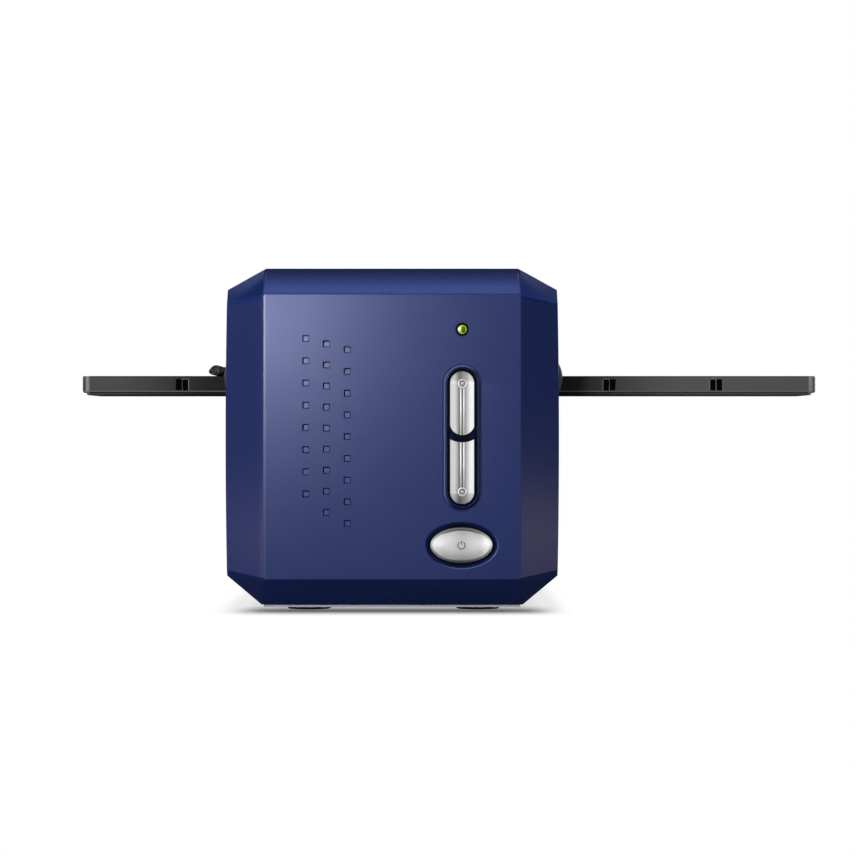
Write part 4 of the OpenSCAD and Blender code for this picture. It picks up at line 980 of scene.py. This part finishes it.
def hull(points):
    """The convex solid round some points, with whole flat faces."""
    bm = bmesh.new()
    for point in points:
        bm.verts.new(point)
    bmesh.ops.remove_doubles(bm, verts=bm.verts[:], dist=1e-3)
    bmesh.ops.convex_hull(bm, input=bm.verts[:])
    bmesh.ops.delete(bm, geom=[v for v in bm.verts if not v.link_faces], context="VERTS")
    bmesh.ops.dissolve_limit(bm, angle_limit=math.radians(0.05), verts=bm.verts[:], edges=bm.edges[:])
    bm.normal_update()
    return bm


def convex(planes):
    """The convex solid inside a list of planes, from the points where three planes meet."""
    normals = np.array([normal for _, normal in planes])
    reaches = np.array([point.dot(normal) for point, normal in planes])
    trios = np.array(list(combinations(range(len(planes)), 3)))
    systems = normals[trios]
    solvable = np.abs(np.linalg.det(systems)) > 1e-6
    points = np.linalg.solve(systems[solvable], reaches[trios[solvable]][..., None])[..., 0]
    inside = (points @ normals.T <= reaches + 1e-6).all(axis=1)
    return hull(points[inside])


def rounded(planes_at, radius, steps=5):
    """The convex solid inside planes_at(0), with its edges and corners rounded."""
    core = convex(planes_at(radius))
    points = []
    for edge in core.edges:
        one, two = (face.normal for face in edge.link_faces)
        for i in range(steps + 1):
            points += [end.co + one.slerp(two, i / steps) * radius for end in edge.verts]
    core.free()
    return hull(points)


def slice_levels(bm, normal, levels):
    """Adds edges where planes at the given distances cross the mesh."""
    for level in levels:
        everything = bm.verts[:] + bm.edges[:] + bm.faces[:]
        place = Vector(normal) * level
        bmesh.ops.bisect_plane(bm, geom=everything, dist=1e-5, plane_co=place, plane_no=normal)


def smoothstep(low, high, value):
    """0 up to low and 1 from high on, with an S curve between."""
    t = min(max((value - low) / (high - low), 0.0), 1.0)
    return t * t * (3 - 2 * t)


def crown(bm):
    """Bows the sides and the top bevel outwards by a fraction of a millimetre."""
    half = (TOP - BASE) / 2
    slope = unit(0, -TOP_BEVEL[1], TOP_BEVEL[0])
    for v in bm.verts:
        rise = (v.co.z - MIDDLE_Z) / half
        inwards = (SIDE_CROWN * rise ** 2 - SIDE_SWELL) * smoothstep(FACE_X + 2, SIDE, abs(v.co.x))
        v.co.x -= inwards * math.copysign(1, v.co.x)
        away = (Vector((0, FRONT, FACE_TOP)) - v.co).dot(slope)
        share = (v.co.z - FACE_TOP) / TOP_BEVEL[1]
        if abs(away) < 0.05 and 0 < share < 1:
            v.co += slope * BEVEL_CROWN * 4 * share * (1 - share)


def shell_piece(name, from_y, to_y, open_low, open_high):
    """One blue shell: rounded outside, hollow inside, with a fine seam where it meets its neighbour."""
    bm = rounded(lambda inset: housing_planes(inset, -4 * REAR, 4 * REAR), EDGE_ROUND)
    # Level edges all round, closer together on the top bevel, let the flat faces bow
    slice_levels(bm, (0, 0, 1), [*np.arange(20, 108, 8), *np.arange(FACE_TOP + 1, TOP, 1)])
    crown(bm)
    for level, sign, is_open in ((from_y, -1, open_low), (to_y, 1, open_high)):
        if not is_open:
            continue
        everything = bm.verts[:] + bm.edges[:] + bm.faces[:]
        cut = bmesh.ops.bisect_plane(bm, geom=everything, dist=1e-5, plane_co=(0, level, 0),
                                     plane_no=(0, sign, 0), clear_outer=True)
        rim = [e for e in cut["geom_cut"] if isinstance(e, bmesh.types.BMEdge)]
        bmesh.ops.edgeloop_fill(bm, edges=rim)
        slice_levels(bm, (0, 1, 0), [level - sign * SEAM])
        for v in bm.verts:
            if abs(v.co.y - level) < 1e-3:
                v.co.x *= (SIDE - SEAM) / SIDE
                v.co.z = MIDDLE_Z + (v.co.z - MIDDLE_Z) * (TOP - MIDDLE_Z - SEAM) / (TOP - MIDDLE_Z)
    obj = solid(name, bm)
    reach_low = from_y - 5 if open_low else from_y + WALL
    reach_high = to_y + 5 if open_high else to_y - WALL
    inside = solid("inside", convex(housing_planes(WALL, reach_low, reach_high)))
    return combined(obj, inside)


def block_mesh(low, high):
    """A plain block, used only to cut."""
    bm = bmesh.new()
    bmesh.ops.create_cube(bm, size=1)
    for v in bm.verts:
        v.co = Vector(low[i] + (high[i] - low[i]) * (v.co[i] + 0.5) for i in range(3))
    return solid("block", bm)


def make_front_cover():
    """The front shell with its faces, the places of the controls and the small squares."""
    obj = shell_piece("front_shell", FRONT, FRONT_SPLIT, False, True)

    # Collar and dish round the scan buttons, recess round the power button, and the holes of all three
    groove = [(COLLAR_GROW + 0.25, -1.0), (COLLAR_GROW + 0.25, 0.0), (COLLAR_GROW + 0.1, 0.06),
              (COLLAR_GROW, 0.35)]
    collar = [(COLLAR_GROW - 0.2, 1.2), (COLLAR_GROW - 0.2, 0.1), (COLLAR_GROW - 0.3, 0.0), (1.4, -0.36),
              (1.25, -0.44), (1.1, -0.47), (0.95, -0.47)]
    dish = [(1.08, -1.0), (1.08, -0.48), (0.98, -0.42), (0.85, -0.25), (0.65, 0.6), (0.6, 1.8)]
    through = [(BUTTON_GAP, 0.6), (BUTTON_GAP, WALL + 2)]
    recess = [(2.1, -1.0), (2.1, 0.0), (1.85, 0.04), (1.68, 0.15), (1.6, 0.34), (1.2, 0.9),
              (0.95, RECESS_DEPTH)]
    for outline, profile, operation in (
            (pair_outline, groove, "DIFFERENCE"), (pair_outline, collar, "UNION"),
            (pair_outline, dish, "DIFFERENCE"), (upper_outline, through, "DIFFERENCE"),
            (lower_outline, through, "DIFFERENCE"), (power_outline, recess, "DIFFERENCE"),
            (power_outline, through, "DIFFERENCE")):
        combined(obj, solid("cutter", loft(facing_front(outline, profile))), operation)

    light = [(LIGHT_HOLE_R + 0.3, -1.0), (LIGHT_HOLE_R + 0.3, 0), (LIGHT_HOLE_R + 0.08, 0.1),
             (LIGHT_HOLE_R, 0.3), (LIGHT_HOLE_R, WALL + 2)]
    combined(obj, solid("light hole", lathe(light, (BUTTON_X, FRONT, LIGHT_Z), (0, 1, 0))))

    shape = solid("square", loft([square_ring(share, depth) for share, depth in (
        (0.0, -0.5), (0.0, 0.0), (0.1, 0.05), (0.95, SQUARE_DEPTH - 0.04), (1.0, SQUARE_DEPTH))]))
    cut_rows(obj, shape, [(count, (x, FRONT, z), (0, 0, -step)) for x, z, count, step in SQUARE_COLUMNS])
    return piece(smoothed(obj), "housing", "blue_shell", "blue_shell", "front_cover")


def square_ring(share, depth):
    """A small square's outline at a depth, with this share of its walls' slope."""
    left, right, top, bottom = (share * wall / 2 for wall in SQUARE_WALLS)
    half = SQUARE_SIDE / 2
    corners = round_rect(half - left - right, half - top - bottom, 0.12, 0, steps=2)
    return [(u + left - right, depth, v - top + bottom) for u, v in corners]


def make_casing():
    """The middle shell, with a hole for each slot's bezel and an open bottom."""
    obj = shell_piece("casing_shell", FRONT_SPLIT, REAR_SPLIT, True, True)
    near, far = HOLDER_Y - BEZEL_HALF - FIT, HOLDER_Y + BEZEL_HALF + FIT
    for s in (-1, 1):
        ends = sorted((s * (SIDE - 6), s * (SIDE + 4)))
        combined(obj, block_mesh((ends[0], near, BEZEL_Z[0] - FIT), (ends[1], far, BEZEL_Z[1] + FIT)))
    low, high = box_mm("bottom_cover")
    hole_low = (low.x + 4.9, FRONT_SPLIT + 5, 0)
    hole_high = (high.x - 4.9, REAR_SPLIT - 5, BASE + WALL + 1)
    combined(obj, block_mesh(hole_low, hole_high))
    return piece(smoothed(obj), "housing", "blue_shell", "blue_shell", "casing")


def make_rear_cover():
    """The rear shell, with holes for the power inlet and the data socket."""
    obj = shell_piece("rear_shell", REAR_SPLIT, REAR, True, False)
    for node in ("power_inlet", "data_socket"):
        low, high = box_mm(node)
        hole_low = (low.x - 2 * FIT, REAR - WALL - 2, low.z - 2 * FIT)
        hole_high = (high.x + 2 * FIT, REAR + 2, high.z + 2 * FIT)
        combined(obj, block_mesh(hole_low, hole_high))
    return piece(smoothed(obj), "housing", "blue_shell", "blue_shell", "rear_cover")


# ---------------------------------------------------------------- controls


def crowned(outline, levels=9):
    """Rings from the back of a cap to its crown, an arc of CROWN_R across the cap's width."""
    half = BUTTON_R - CROWN_EDGE
    low = math.sqrt(CROWN_R ** 2 - half ** 2)
    profile = [(0, BUTTON_DEPTH), (0, 0.2), (-0.04, 0.02), (-CROWN_EDGE * 0.4, -0.1),
               (-CROWN_EDGE, -CROWN_STEP)]
    for i in range(1, levels + 1):
        inset = CROWN_EDGE + (half - 0.06) * (i / levels)
        profile.append((-inset, -CROWN_STEP - math.sqrt(CROWN_R ** 2 - (BUTTON_R - inset) ** 2) + low))
    return facing_front(outline, profile)


def rib(x, low, high, depth):
    """A thin upright rib with round ends on a button's face."""
    tall = high - low
    profile = [(0.02, 0), (RIB_R * 0.7, RIB_R * 0.3), (RIB_R, RIB_R), (RIB_R, tall - RIB_R),
               (RIB_R * 0.7, tall - RIB_R * 0.3), (0.02, tall)]
    return solid("rib", lathe(profile, (x, FRONT + depth, low), (0, 0, 1), 16))


def ring(x, z, depth, steps=40, sides=12):
    """A raised ring on a button's face."""
    bm = bmesh.new()
    grid = []
    for i in range(steps):
        turn = 2 * math.pi * i / steps
        loop = []
        for j in range(sides):
            roll = 2 * math.pi * j / sides
            out = RING_R + RING_TUBE * math.cos(roll)
            back = FRONT + depth + RING_TUBE * math.sin(roll)
            loop.append(bm.verts.new((x + out * math.cos(turn), back, z + out * math.sin(turn))))
        grid.append(loop)
    for i in range(steps):
        for j in range(sides):
            k, m = (i + 1) % steps, (j + 1) % sides
            bm.faces.new((grid[i][j], grid[k][j], grid[k][m], grid[i][m]))
    return solid("ring", bm)


def make_scan_button(name, outline, ring_z, end_z, body, node):
    """A scan button, cut from the crowned pill, with two ribs from a ring with a ball to its inner end."""
    obj = solid(name, loft(crowned(pair_outline)))
    combined(obj, solid("prism", loft(facing_front(outline, [(0, 5), (0, -3)]))), "INTERSECT")
    inner = math.copysign(1, end_z - ring_z)
    channel = sorted((end_z + inner * 2.0, ring_z + inner * 1.4))
    combined(obj, block_mesh((BUTTON_X - CHANNEL_HALF, FRONT - 3, channel[0]),
                             (BUTTON_X + CHANNEL_HALF, CHANNEL_Y, channel[1])))
    pocket = [(POCKET_R, -3), (POCKET_R, CHANNEL_Y - FRONT)]
    combined(obj, solid("pocket", lathe(pocket, (BUTTON_X, FRONT, ring_z), (0, 1, 0), 40)))
    smoothed(obj, 28)
    depth = CROWN_Y - FRONT + RIB_RISE
    low, high = sorted((end_z, ring_z + inner * 1.2))
    ribs = [rib(BUTTON_X + s * RIB_OUT, low, high, depth) for s in (-1, 1)]
    ball = lathe([(0.05, -0.62), (0.36, -0.5), (0.56, -0.2), (0.6, 0.1), (0.6, 0.5)],
                 (BUTTON_X, CROWN_Y + 0.3, ring_z), (0, 1, 0), 24)
    gathered(obj, *ribs, ring(BUTTON_X, ring_z, depth), solid("ball", ball))
    for polygon in obj.data.polygons:
        polygon.use_smooth = True
    return piece(obj, body, "button_metal", "button_metal", node)


def stroke(path, half):
    """A thin raised line on the crown of the power button, along points about its middle."""
    left, right = [], []
    for i, (u, v) in enumerate(path):
        ahead, behind = path[min(i + 1, len(path) - 1)], path[max(i - 1, 0)]
        along = Vector((ahead[0] - behind[0], ahead[1] - behind[1])).normalized()
        left.append((u - along.y * half, v + along.x * half))
        right.append((u + along.y * half, v - along.x * half))
    outline = left + right[::-1]
    rings = [[(POWER_X + u, FRONT - depth, POWER_Z + v) for u, v in outline] for depth in (0.9, 1.1)]
    return solid("stroke", loft(rings))


def make_power_button():
    """The crowned oval cap, with the standard power symbol: an open circle and a stroke at its top."""
    profile = [(0, BUTTON_DEPTH), (0, 0.35), (-0.06, 0.12), (-0.2, 0.0), (-0.75, -0.42), (-0.95, -0.5),
               (-1.15, -0.53), (-1.7, -0.66), (-2.4, -0.8), (-3.2, -0.91), (-4.2, -0.99), (-5.2, -1.02),
               (-5.9, -1.03)]
    obj = smoothed(solid("power_oval", loft(facing_front(power_outline, profile))), 24)
    piece(obj, "power_button", "power_metal", "button_metal", "power_button")
    mark = gathered(stroke(arc(0, 0, 1.25, 125, 415, 28), 0.17), stroke([(0, 0.35), (0, 1.55)], 0.17))
    mark.name = "power_symbol"
    return piece(mark, "power_button", "marking", "black_plastic")


def make_status_light():
    """The domed lens, and a dark sleeve round it in the wall's hole."""
    profile = [(LIGHT_R, 3.2), (LIGHT_R, 0.1), (LIGHT_R * 0.96, -0.12), (LIGHT_R * 0.82, -0.38),
               (LIGHT_R * 0.55, -0.58), (LIGHT_R * 0.2, -0.67), (0.02, -0.68)]
    obj = smoothed(solid("status_dome", lathe(profile, (BUTTON_X, FRONT, LIGHT_Z), (0, 1, 0))))
    piece(obj, "housing", "status_lens", "status_lens", "status_lens")
    inner, outer = LIGHT_R + 0.03, LIGHT_HOLE_R - 0.01
    sleeve = [(inner, 0.08), (outer, 0.08), (outer, WALL), (inner, WALL)]
    bm = lathe(sleeve + sleeve[:1], (BUTTON_X, FRONT, LIGHT_Z), (0, 1, 0))
    bmesh.ops.delete(bm, geom=[f for f in bm.faces if len(f.verts) > 4], context="FACES")
    bmesh.ops.remove_doubles(bm, verts=bm.verts[:], dist=1e-4)
    return piece(smoothed(solid("status_sleeve", bm)), "housing", "sleeve_black", "black_plastic")


# ---------------------------------------------------------------- film holder and slots


def level_loft(half_u, half_v, radius, profile, cx, cy, steps=6):
    """A flat plate with round corners; profile is (grow, height)."""
    rings = []
    for grow, z in profile:
        rings.append([(u, v, z) for u, v in round_rect(half_u, half_v, radius, grow, cx, cy, steps)])
    return loft(rings)


def windows(low, high, flare):
    """Cutters of the six picture windows, wider at the top by flare."""
    profile = [(0, low - 1), (0, high - 0.7), (flare * 0.6, high - 0.2), (flare, high), (flare, high + 1)]
    shape = solid("window", level_loft(WINDOW[0] / 2, WINDOW[1] / 2, 0.8, profile, 0, 0, 3))
    made = row("windows", shape, FRAME_COUNT, (FIRST_FRAME, HOLDER_Y, 0), (FRAME_PITCH, 0, 0))
    bpy.data.objects.remove(shape)
    return made


def make_tray():
    """The holder's tray on its narrower runners: windows, pairs of notches in front and detents behind."""
    low, high = tray_low.z, tray_high.z
    profile = [(-RUNNER_INSET - 0.3, low), (-RUNNER_INSET, low + 0.25), (-RUNNER_INSET, RUNNER_TOP - 0.05),
               (-0.75, RUNNER_TOP), (-0.35, RUNNER_TOP + 0.16), (-0.1, RUNNER_TOP + 0.45),
               (0, RUNNER_TOP + 0.85), (0, high - 0.5), (-0.1, high - 0.2), (-0.32, high)]
    obj = solid("holder_tray", level_loft(TRAY_HALF, HOLDER_HALF[1], 3.0, profile, TRAY_X, HOLDER_Y))
    seat = [(0.1, lid_low.z), (0.1, high - 0.3), (0.35, high), (0.35, high + 1)]
    combined(obj, solid("seat", level_loft(*LID_HALF, 1.2, seat, HOLDER_X, HOLDER_Y)))
    combined(obj, windows(low, high, 0.0))
    rings = []
    for grow, depth in ((0.3, -0.5), (0.3, 0.0), (0.04, 0.12), (0, 0.3), (0, NOTCH[1])):
        corners = round_rect(NOTCH[0] / 2, NOTCH[2] / 2, 0.35, grow, steps=3)
        rings.append([(u, depth, v) for u, v in corners])
    step = (FRAME_PITCH, 0, 0)
    middle = FIRST_FRAME + NOTCH_SHIFT
    starts = [(middle + side * NOTCH_OUT, tray_low.y, NOTCH_Z) for side in (-1, 1)]
    cut_rows(obj, solid("notch", loft(rings)), [(FRAME_COUNT, start, step) for start in starts])
    detent = lathe([(DETENT_R, low - 1), (DETENT_R, high + 1)], (0, 0, 0), (0, 0, 1), 32)
    cut_rows(obj, solid("detent", detent), [(FRAME_COUNT, (FIRST_FRAME, tray_high.y + 0.6, 0), step)])
    return piece(smoothed(obj), "film_holder", "holder_plastic", "black_plastic", "film_holder_tray")


def make_lid():
    """The holder's lid in the tray's seat, with windows that widen at the top."""
    low, high = lid_low.z, lid_high.z
    profile = [(-0.1, low), (0, low + 0.1), (0, high - 0.4), (-0.12, high - 0.12), (-0.4, high)]
    obj = solid("holder_lid", level_loft(*LID_HALF, 1.0, profile, HOLDER_X, HOLDER_Y))
    combined(obj, windows(low, high, 0.9))
    return piece(smoothed(obj), "film_holder", "lid_plastic", "lid_plastic", "film_holder_lid")


def stations(ends, near, far):
    """Places along Y of a strip whose two ends have the same shape, given as (grow, distance in)."""
    return [(g, near + d) for g, d in ends] + [(g, far - d) for g, d in reversed(ends)]


def bezel_section(grow):
    """The right bezel's section seen from the front: a flange in the wall and a bow outside it."""
    low, high = BEZEL_Z[0] - grow, BEZEL_Z[1] + grow
    half = (high - low) / 2
    out = BEZEL_OUT - SIDE + grow
    radius = (half * half + out * out) / (2 * out)
    reach = math.degrees(math.asin(half / radius))
    bow = arc(SIDE + out - radius, (low + high) / 2, radius, -reach, reach, 24)
    return [(SIDE - 4.0, low)] + bow + [(SIDE - 4.0, high)]


def make_bezel(side, name, node):
    """A slot's bezel on the left (-1) or right (1) side."""
    ends = [(-0.8, 0.0), (-0.35, 0.12), (-0.1, 0.4), (0, 0.85)]
    places = stations(ends, HOLDER_Y - BEZEL_HALF, HOLDER_Y + BEZEL_HALF)
    obj = solid(name, loft([[(side * x, y, z) for x, z in bezel_section(g)] for g, y in places]))
    mouth = [(0, SIDE - 8), (0, BEZEL_OUT - 0.7), (0.15, BEZEL_OUT - 0.3), (0.6, BEZEL_OUT + 0.1),
             (0.6, BEZEL_OUT + 2)]
    half_z, mid_z = (MOUTH_Z[1] - MOUTH_Z[0]) / 2, (MOUTH_Z[1] + MOUTH_Z[0]) / 2
    rings = []
    for grow, x in mouth:
        corners = round_rect(MOUTH_HALF, half_z, 1.0, grow, HOLDER_Y, mid_z)
        rings.append([(side * x, u, v) for u, v in corners])
    combined(obj, solid("mouth", loft(rings)))
    return piece(smoothed(obj), "housing", "bezel_plastic", "bezel_plastic", node)


def flap_ring(px, pz, y, grow):
    """The flap's section at one place along its length, grown about its middle."""
    u0, v0 = FLAP_MIDDLE
    return [(px + u0 + (u - u0) * grow, y, pz + v0 + (v - v0) * grow) for u, v in FLAP_SECTION]


def make_flap(side, name, node, body):
    """A ribbed dust flap: both point to the left, so the right one lies inside the slot."""
    px, pz = side * FLAP_PIN[0], FLAP_PIN[1]
    ends = [(0.86, 0.0), (0.95, 0.15), (0.985, 0.45)]
    low, high = HOLDER_Y - FLAP_HALF, HOLDER_Y + FLAP_HALF
    obj = solid(name, loft([flap_ring(px, pz, y, g) for g, y in stations(ends, low, high)]))
    rings = [flap_ring(px, pz, y, g) for g, y in ((0.98, 0), (1.0, 0.2), (1.0, 0.55), (0.98, 0.75))]
    shape = solid("flap rib", loft(rings))
    step = (high - low - 2.6) / (FLAP_RIBS - 1)
    ribs = row("ribs", shape, FLAP_RIBS, (0, low + 0.9, 0), (0, step, 0))
    bpy.data.objects.remove(shape)
    for part in (obj, ribs):
        subdivision = part.modifiers.new("Round", "SUBSURF")
        subdivision.levels = 1
        subdivision.render_levels = 1
        settled(part)
    return piece(smoothed(gathered(obj, ribs), 60), body, "flap_pile", "black_plastic", node)


# ---------------------------------------------------------------- underside


def make_foot(name):
    """A round rubber foot with a shallow hollow in its sole."""
    low, high = box_mm(name)
    centre = ((low.x + high.x) / 2, (low.y + high.y) / 2, 0)
    plate = box_mm("bottom_cover")[0].z
    profile = [(2.2, 0.35), (6.2, 0.3), (6.5, 0.0), (7.0, 0.0), (7.55, 0.25), (7.9, 0.8), (8.0, 1.4),
               (8.0, plate - 0.15), (7.85, plate - 0.01), (2.5, plate - 0.01)]
    obj = smoothed(solid(name + "_pad", lathe(profile, centre, (0, 0, 1), 64)))
    return piece(obj, "housing", "foot_rubber", "foot_rubber", name)


def make_base_screws():
    """Flat-headed screws with a cross recess, almost flush with the base plate."""
    plate = box_mm("bottom_cover")[0].z
    head = [(0.3, -0.36), (2.1, -0.34), (2.6, -0.24), (2.75, -0.1), (SCREW_R, 0.0), (1.5, 0.01),
            (1.45, 3.0)]
    shape = solid("screw", lathe(head, (0, 0, 0), (0, 0, 1), 28))
    reach, half, top = CROSS
    for half_x, half_y in ((reach, half), (half, reach)):
        combined(shape, block_mesh((-half_x, -half_y, -2), (half_x, half_y, -top)))
    smoothed(shape, 30)
    low, high = box_mm("base_screws")
    side = high.x - SCREW_R
    rows = []
    for y in (low.y + SCREW_R, high.y - SCREW_R):
        start = (-END_PAIR / 2, y, plate)
        rows.append(row("end screws", shape, 2, start, (END_PAIR, 0, 0), "screw_steel", 0.6))
    for x in (-side, side):
        start = (x, -SIDE_PAIR / 2, plate)
        rows.append(row("side screws", shape, 2, start, (0, SIDE_PAIR, 0), "screw_steel", 0.9))
    bpy.data.objects.remove(shape)
    obj = gathered(*rows)
    obj.name = "base_screw_heads"
    return piece(smoothed(obj, 30), "housing", "screw_steel", "screw_steel", "base_screws")


# ---------------------------------------------------------------- camera, light and floor


def make_camera():
    data = bpy.data.cameras.new("camera")
    data.lens = CAMERA_LENS
    data.sensor_width = 36.0
    data.clip_start = 0.05
    camera = bpy.data.objects.new("camera", data)
    camera.location = CAMERA_PLACE
    camera.rotation_euler = (math.radians(90), 0, 0)
    scene.collection.objects.link(camera)
    scene.camera = camera


def make_lamp(name, place, aim, size, watts, colour, mirrored):
    data = bpy.data.lights.new(name, "AREA")
    data.shape = "RECTANGLE"
    data.size, data.size_y = size
    data.energy = watts
    data.color = colour
    lamp = bpy.data.objects.new(name, data)
    lamp.location = place
    lamp.rotation_euler = (Vector(aim) - Vector(place)).to_track_quat("-Z", "Y").to_euler()
    lamp.visible_camera = False
    lamp.visible_glossy = mirrored
    scene.collection.objects.link(lamp)


def make_world():
    """White for the camera, a room with soft sides for gloss and glass, and a dim fill for the rest."""
    world = bpy.data.worlds.new("studio")
    scene.world = world
    world.use_nodes = True
    world.node_tree.nodes.clear()
    t = Tree(world.node_tree)
    seen, mirrored = t.rays()
    x, y, z = t.node("ShaderNodeTexCoord", out="Generated").parts()
    # Front to back, with the two sides brighter than both
    side = ROOM_SIDE[0] + x.ramp(-0.2, 0.2) * (ROOM_SIDE[1] - ROOM_SIDE[0])
    level = y.ramp(0.4, -0.1) * ROOM_FRONT + ROOM_BACK
    level = level + abs(x).ramp(0.15, 0.6) * (side - level)
    # Straight left and right it is dark again, high up too, but for a light right overhead
    past = x.ramp(0.9, 0.985) * (1.0 - ROOM_RIGHT) + x.ramp(-0.9, -0.985) * (1.0 - ROOM_LEFT)
    low = z.ramp(0.56, 0.22)
    over = z.ramp(0.93, 0.98) * y.ramp(0.22, -0.08)
    room = level * (1.0 - past) * (low * (1.0 - ROOM_HIGH) + ROOM_HIGH) + over * ROOM_OVER
    shown = seen.larger(mirrored * room)
    lit = 1.0 - (seen + mirrored).smaller(1.0)
    light = {"Color": (1, 1, 1, 1), "Strength": shown + lit * ROOM_FILL}
    t.node("ShaderNodeOutputWorld", None, {"Surface": t.node("ShaderNodeBackground", None, light)})


def make_floor():
    """A pale floor that keeps the shadow near the object and turns into the white background."""
    bm = bmesh.new()
    bmesh.ops.create_circle(bm, cap_ends=True, cap_tris=True, segments=96, radius=20)
    mesh = bpy.data.meshes.new("floor")
    bm.to_mesh(mesh)
    bm.free()
    floor = link("floor", mesh)
    f = Finish("floor")
    x, y, _ = f.millimetres()
    aside, along = abs(x), abs(y)
    beside = aside.ramp(SIDE + 7, SIDE - 12)
    ends = along.ramp(REAR, REAR - 45)
    middle = along.ramp(REAR - 38, REAR - 90) * aside.ramp(SIDE + 2, SIDE - 4)
    fade = 1.0 - beside * ends * 0.9 * (1.0 - middle * 0.6)
    seen, mirrored = f.rays()
    plain = f.mix(f.noise(60, 2), rgb(168, 168, 170), rgb(174, 174, 175))
    paper = f.node("ShaderNodeBsdfDiffuse", None, {"Color": f.mix(seen, plain, rgb(250, 250, 250))})
    sheen = y.ramp(FRONT - 15, FRONT - 90) * FLOOR_MIRRORED + 0.06
    glow = {"Color": (1, 1, 1, 1), "Strength": seen + mirrored * sheen}
    white = f.node("ShaderNodeEmission", None, glow)
    both = f.node("ShaderNodeMixShader", None, {0: fade * (seen + mirrored), 1: paper, 2: white})
    f.node("ShaderNodeOutputMaterial", None, {"Surface": both})
    floor.data.materials.append(f.material)


# ---------------------------------------------------------------- the object

make_camera()
make_world()
make_floor()
for lamp, settings in LAMPS.items():
    make_lamp(lamp, *settings)

make_front_cover()
make_casing()
make_rear_cover()
make_scan_button("upper_cap", upper_outline, *UPPER_RIBS, "upper_button", "upper_scan_button")
make_scan_button("lower_cap", lower_outline, *LOWER_RIBS, "lower_button", "lower_scan_button")
make_power_button()
make_status_light()
make_tray()
make_lid()
make_bezel(-1, "left_bezel", "left_slot_bezel")
make_bezel(1, "right_bezel", "right_slot_bezel")
make_flap(-1, "left_flap_strip", "left_dust_flap", "left_flap")
make_flap(1, "right_flap_strip", "right_dust_flap", "right_flap")
for foot in ("foot_front_left", "foot_front_right", "foot_rear_left", "foot_rear_right"):
    make_foot(foot)
make_base_screws()

# Every other solid keeps its shape and gets the finish of its own slot
slots = {part["node"]: part["material_slot"] for part in frame["record"]["subparts"]}
for name, node in frame["nodes"].items():
    finish = FINISHES[slots[name]]
    if not node.material_slots:
        node.data.materials.append(finish)
    for material_slot in node.material_slots:
        material_slot.material = finish

scene.view_settings.view_transform = "Standard"
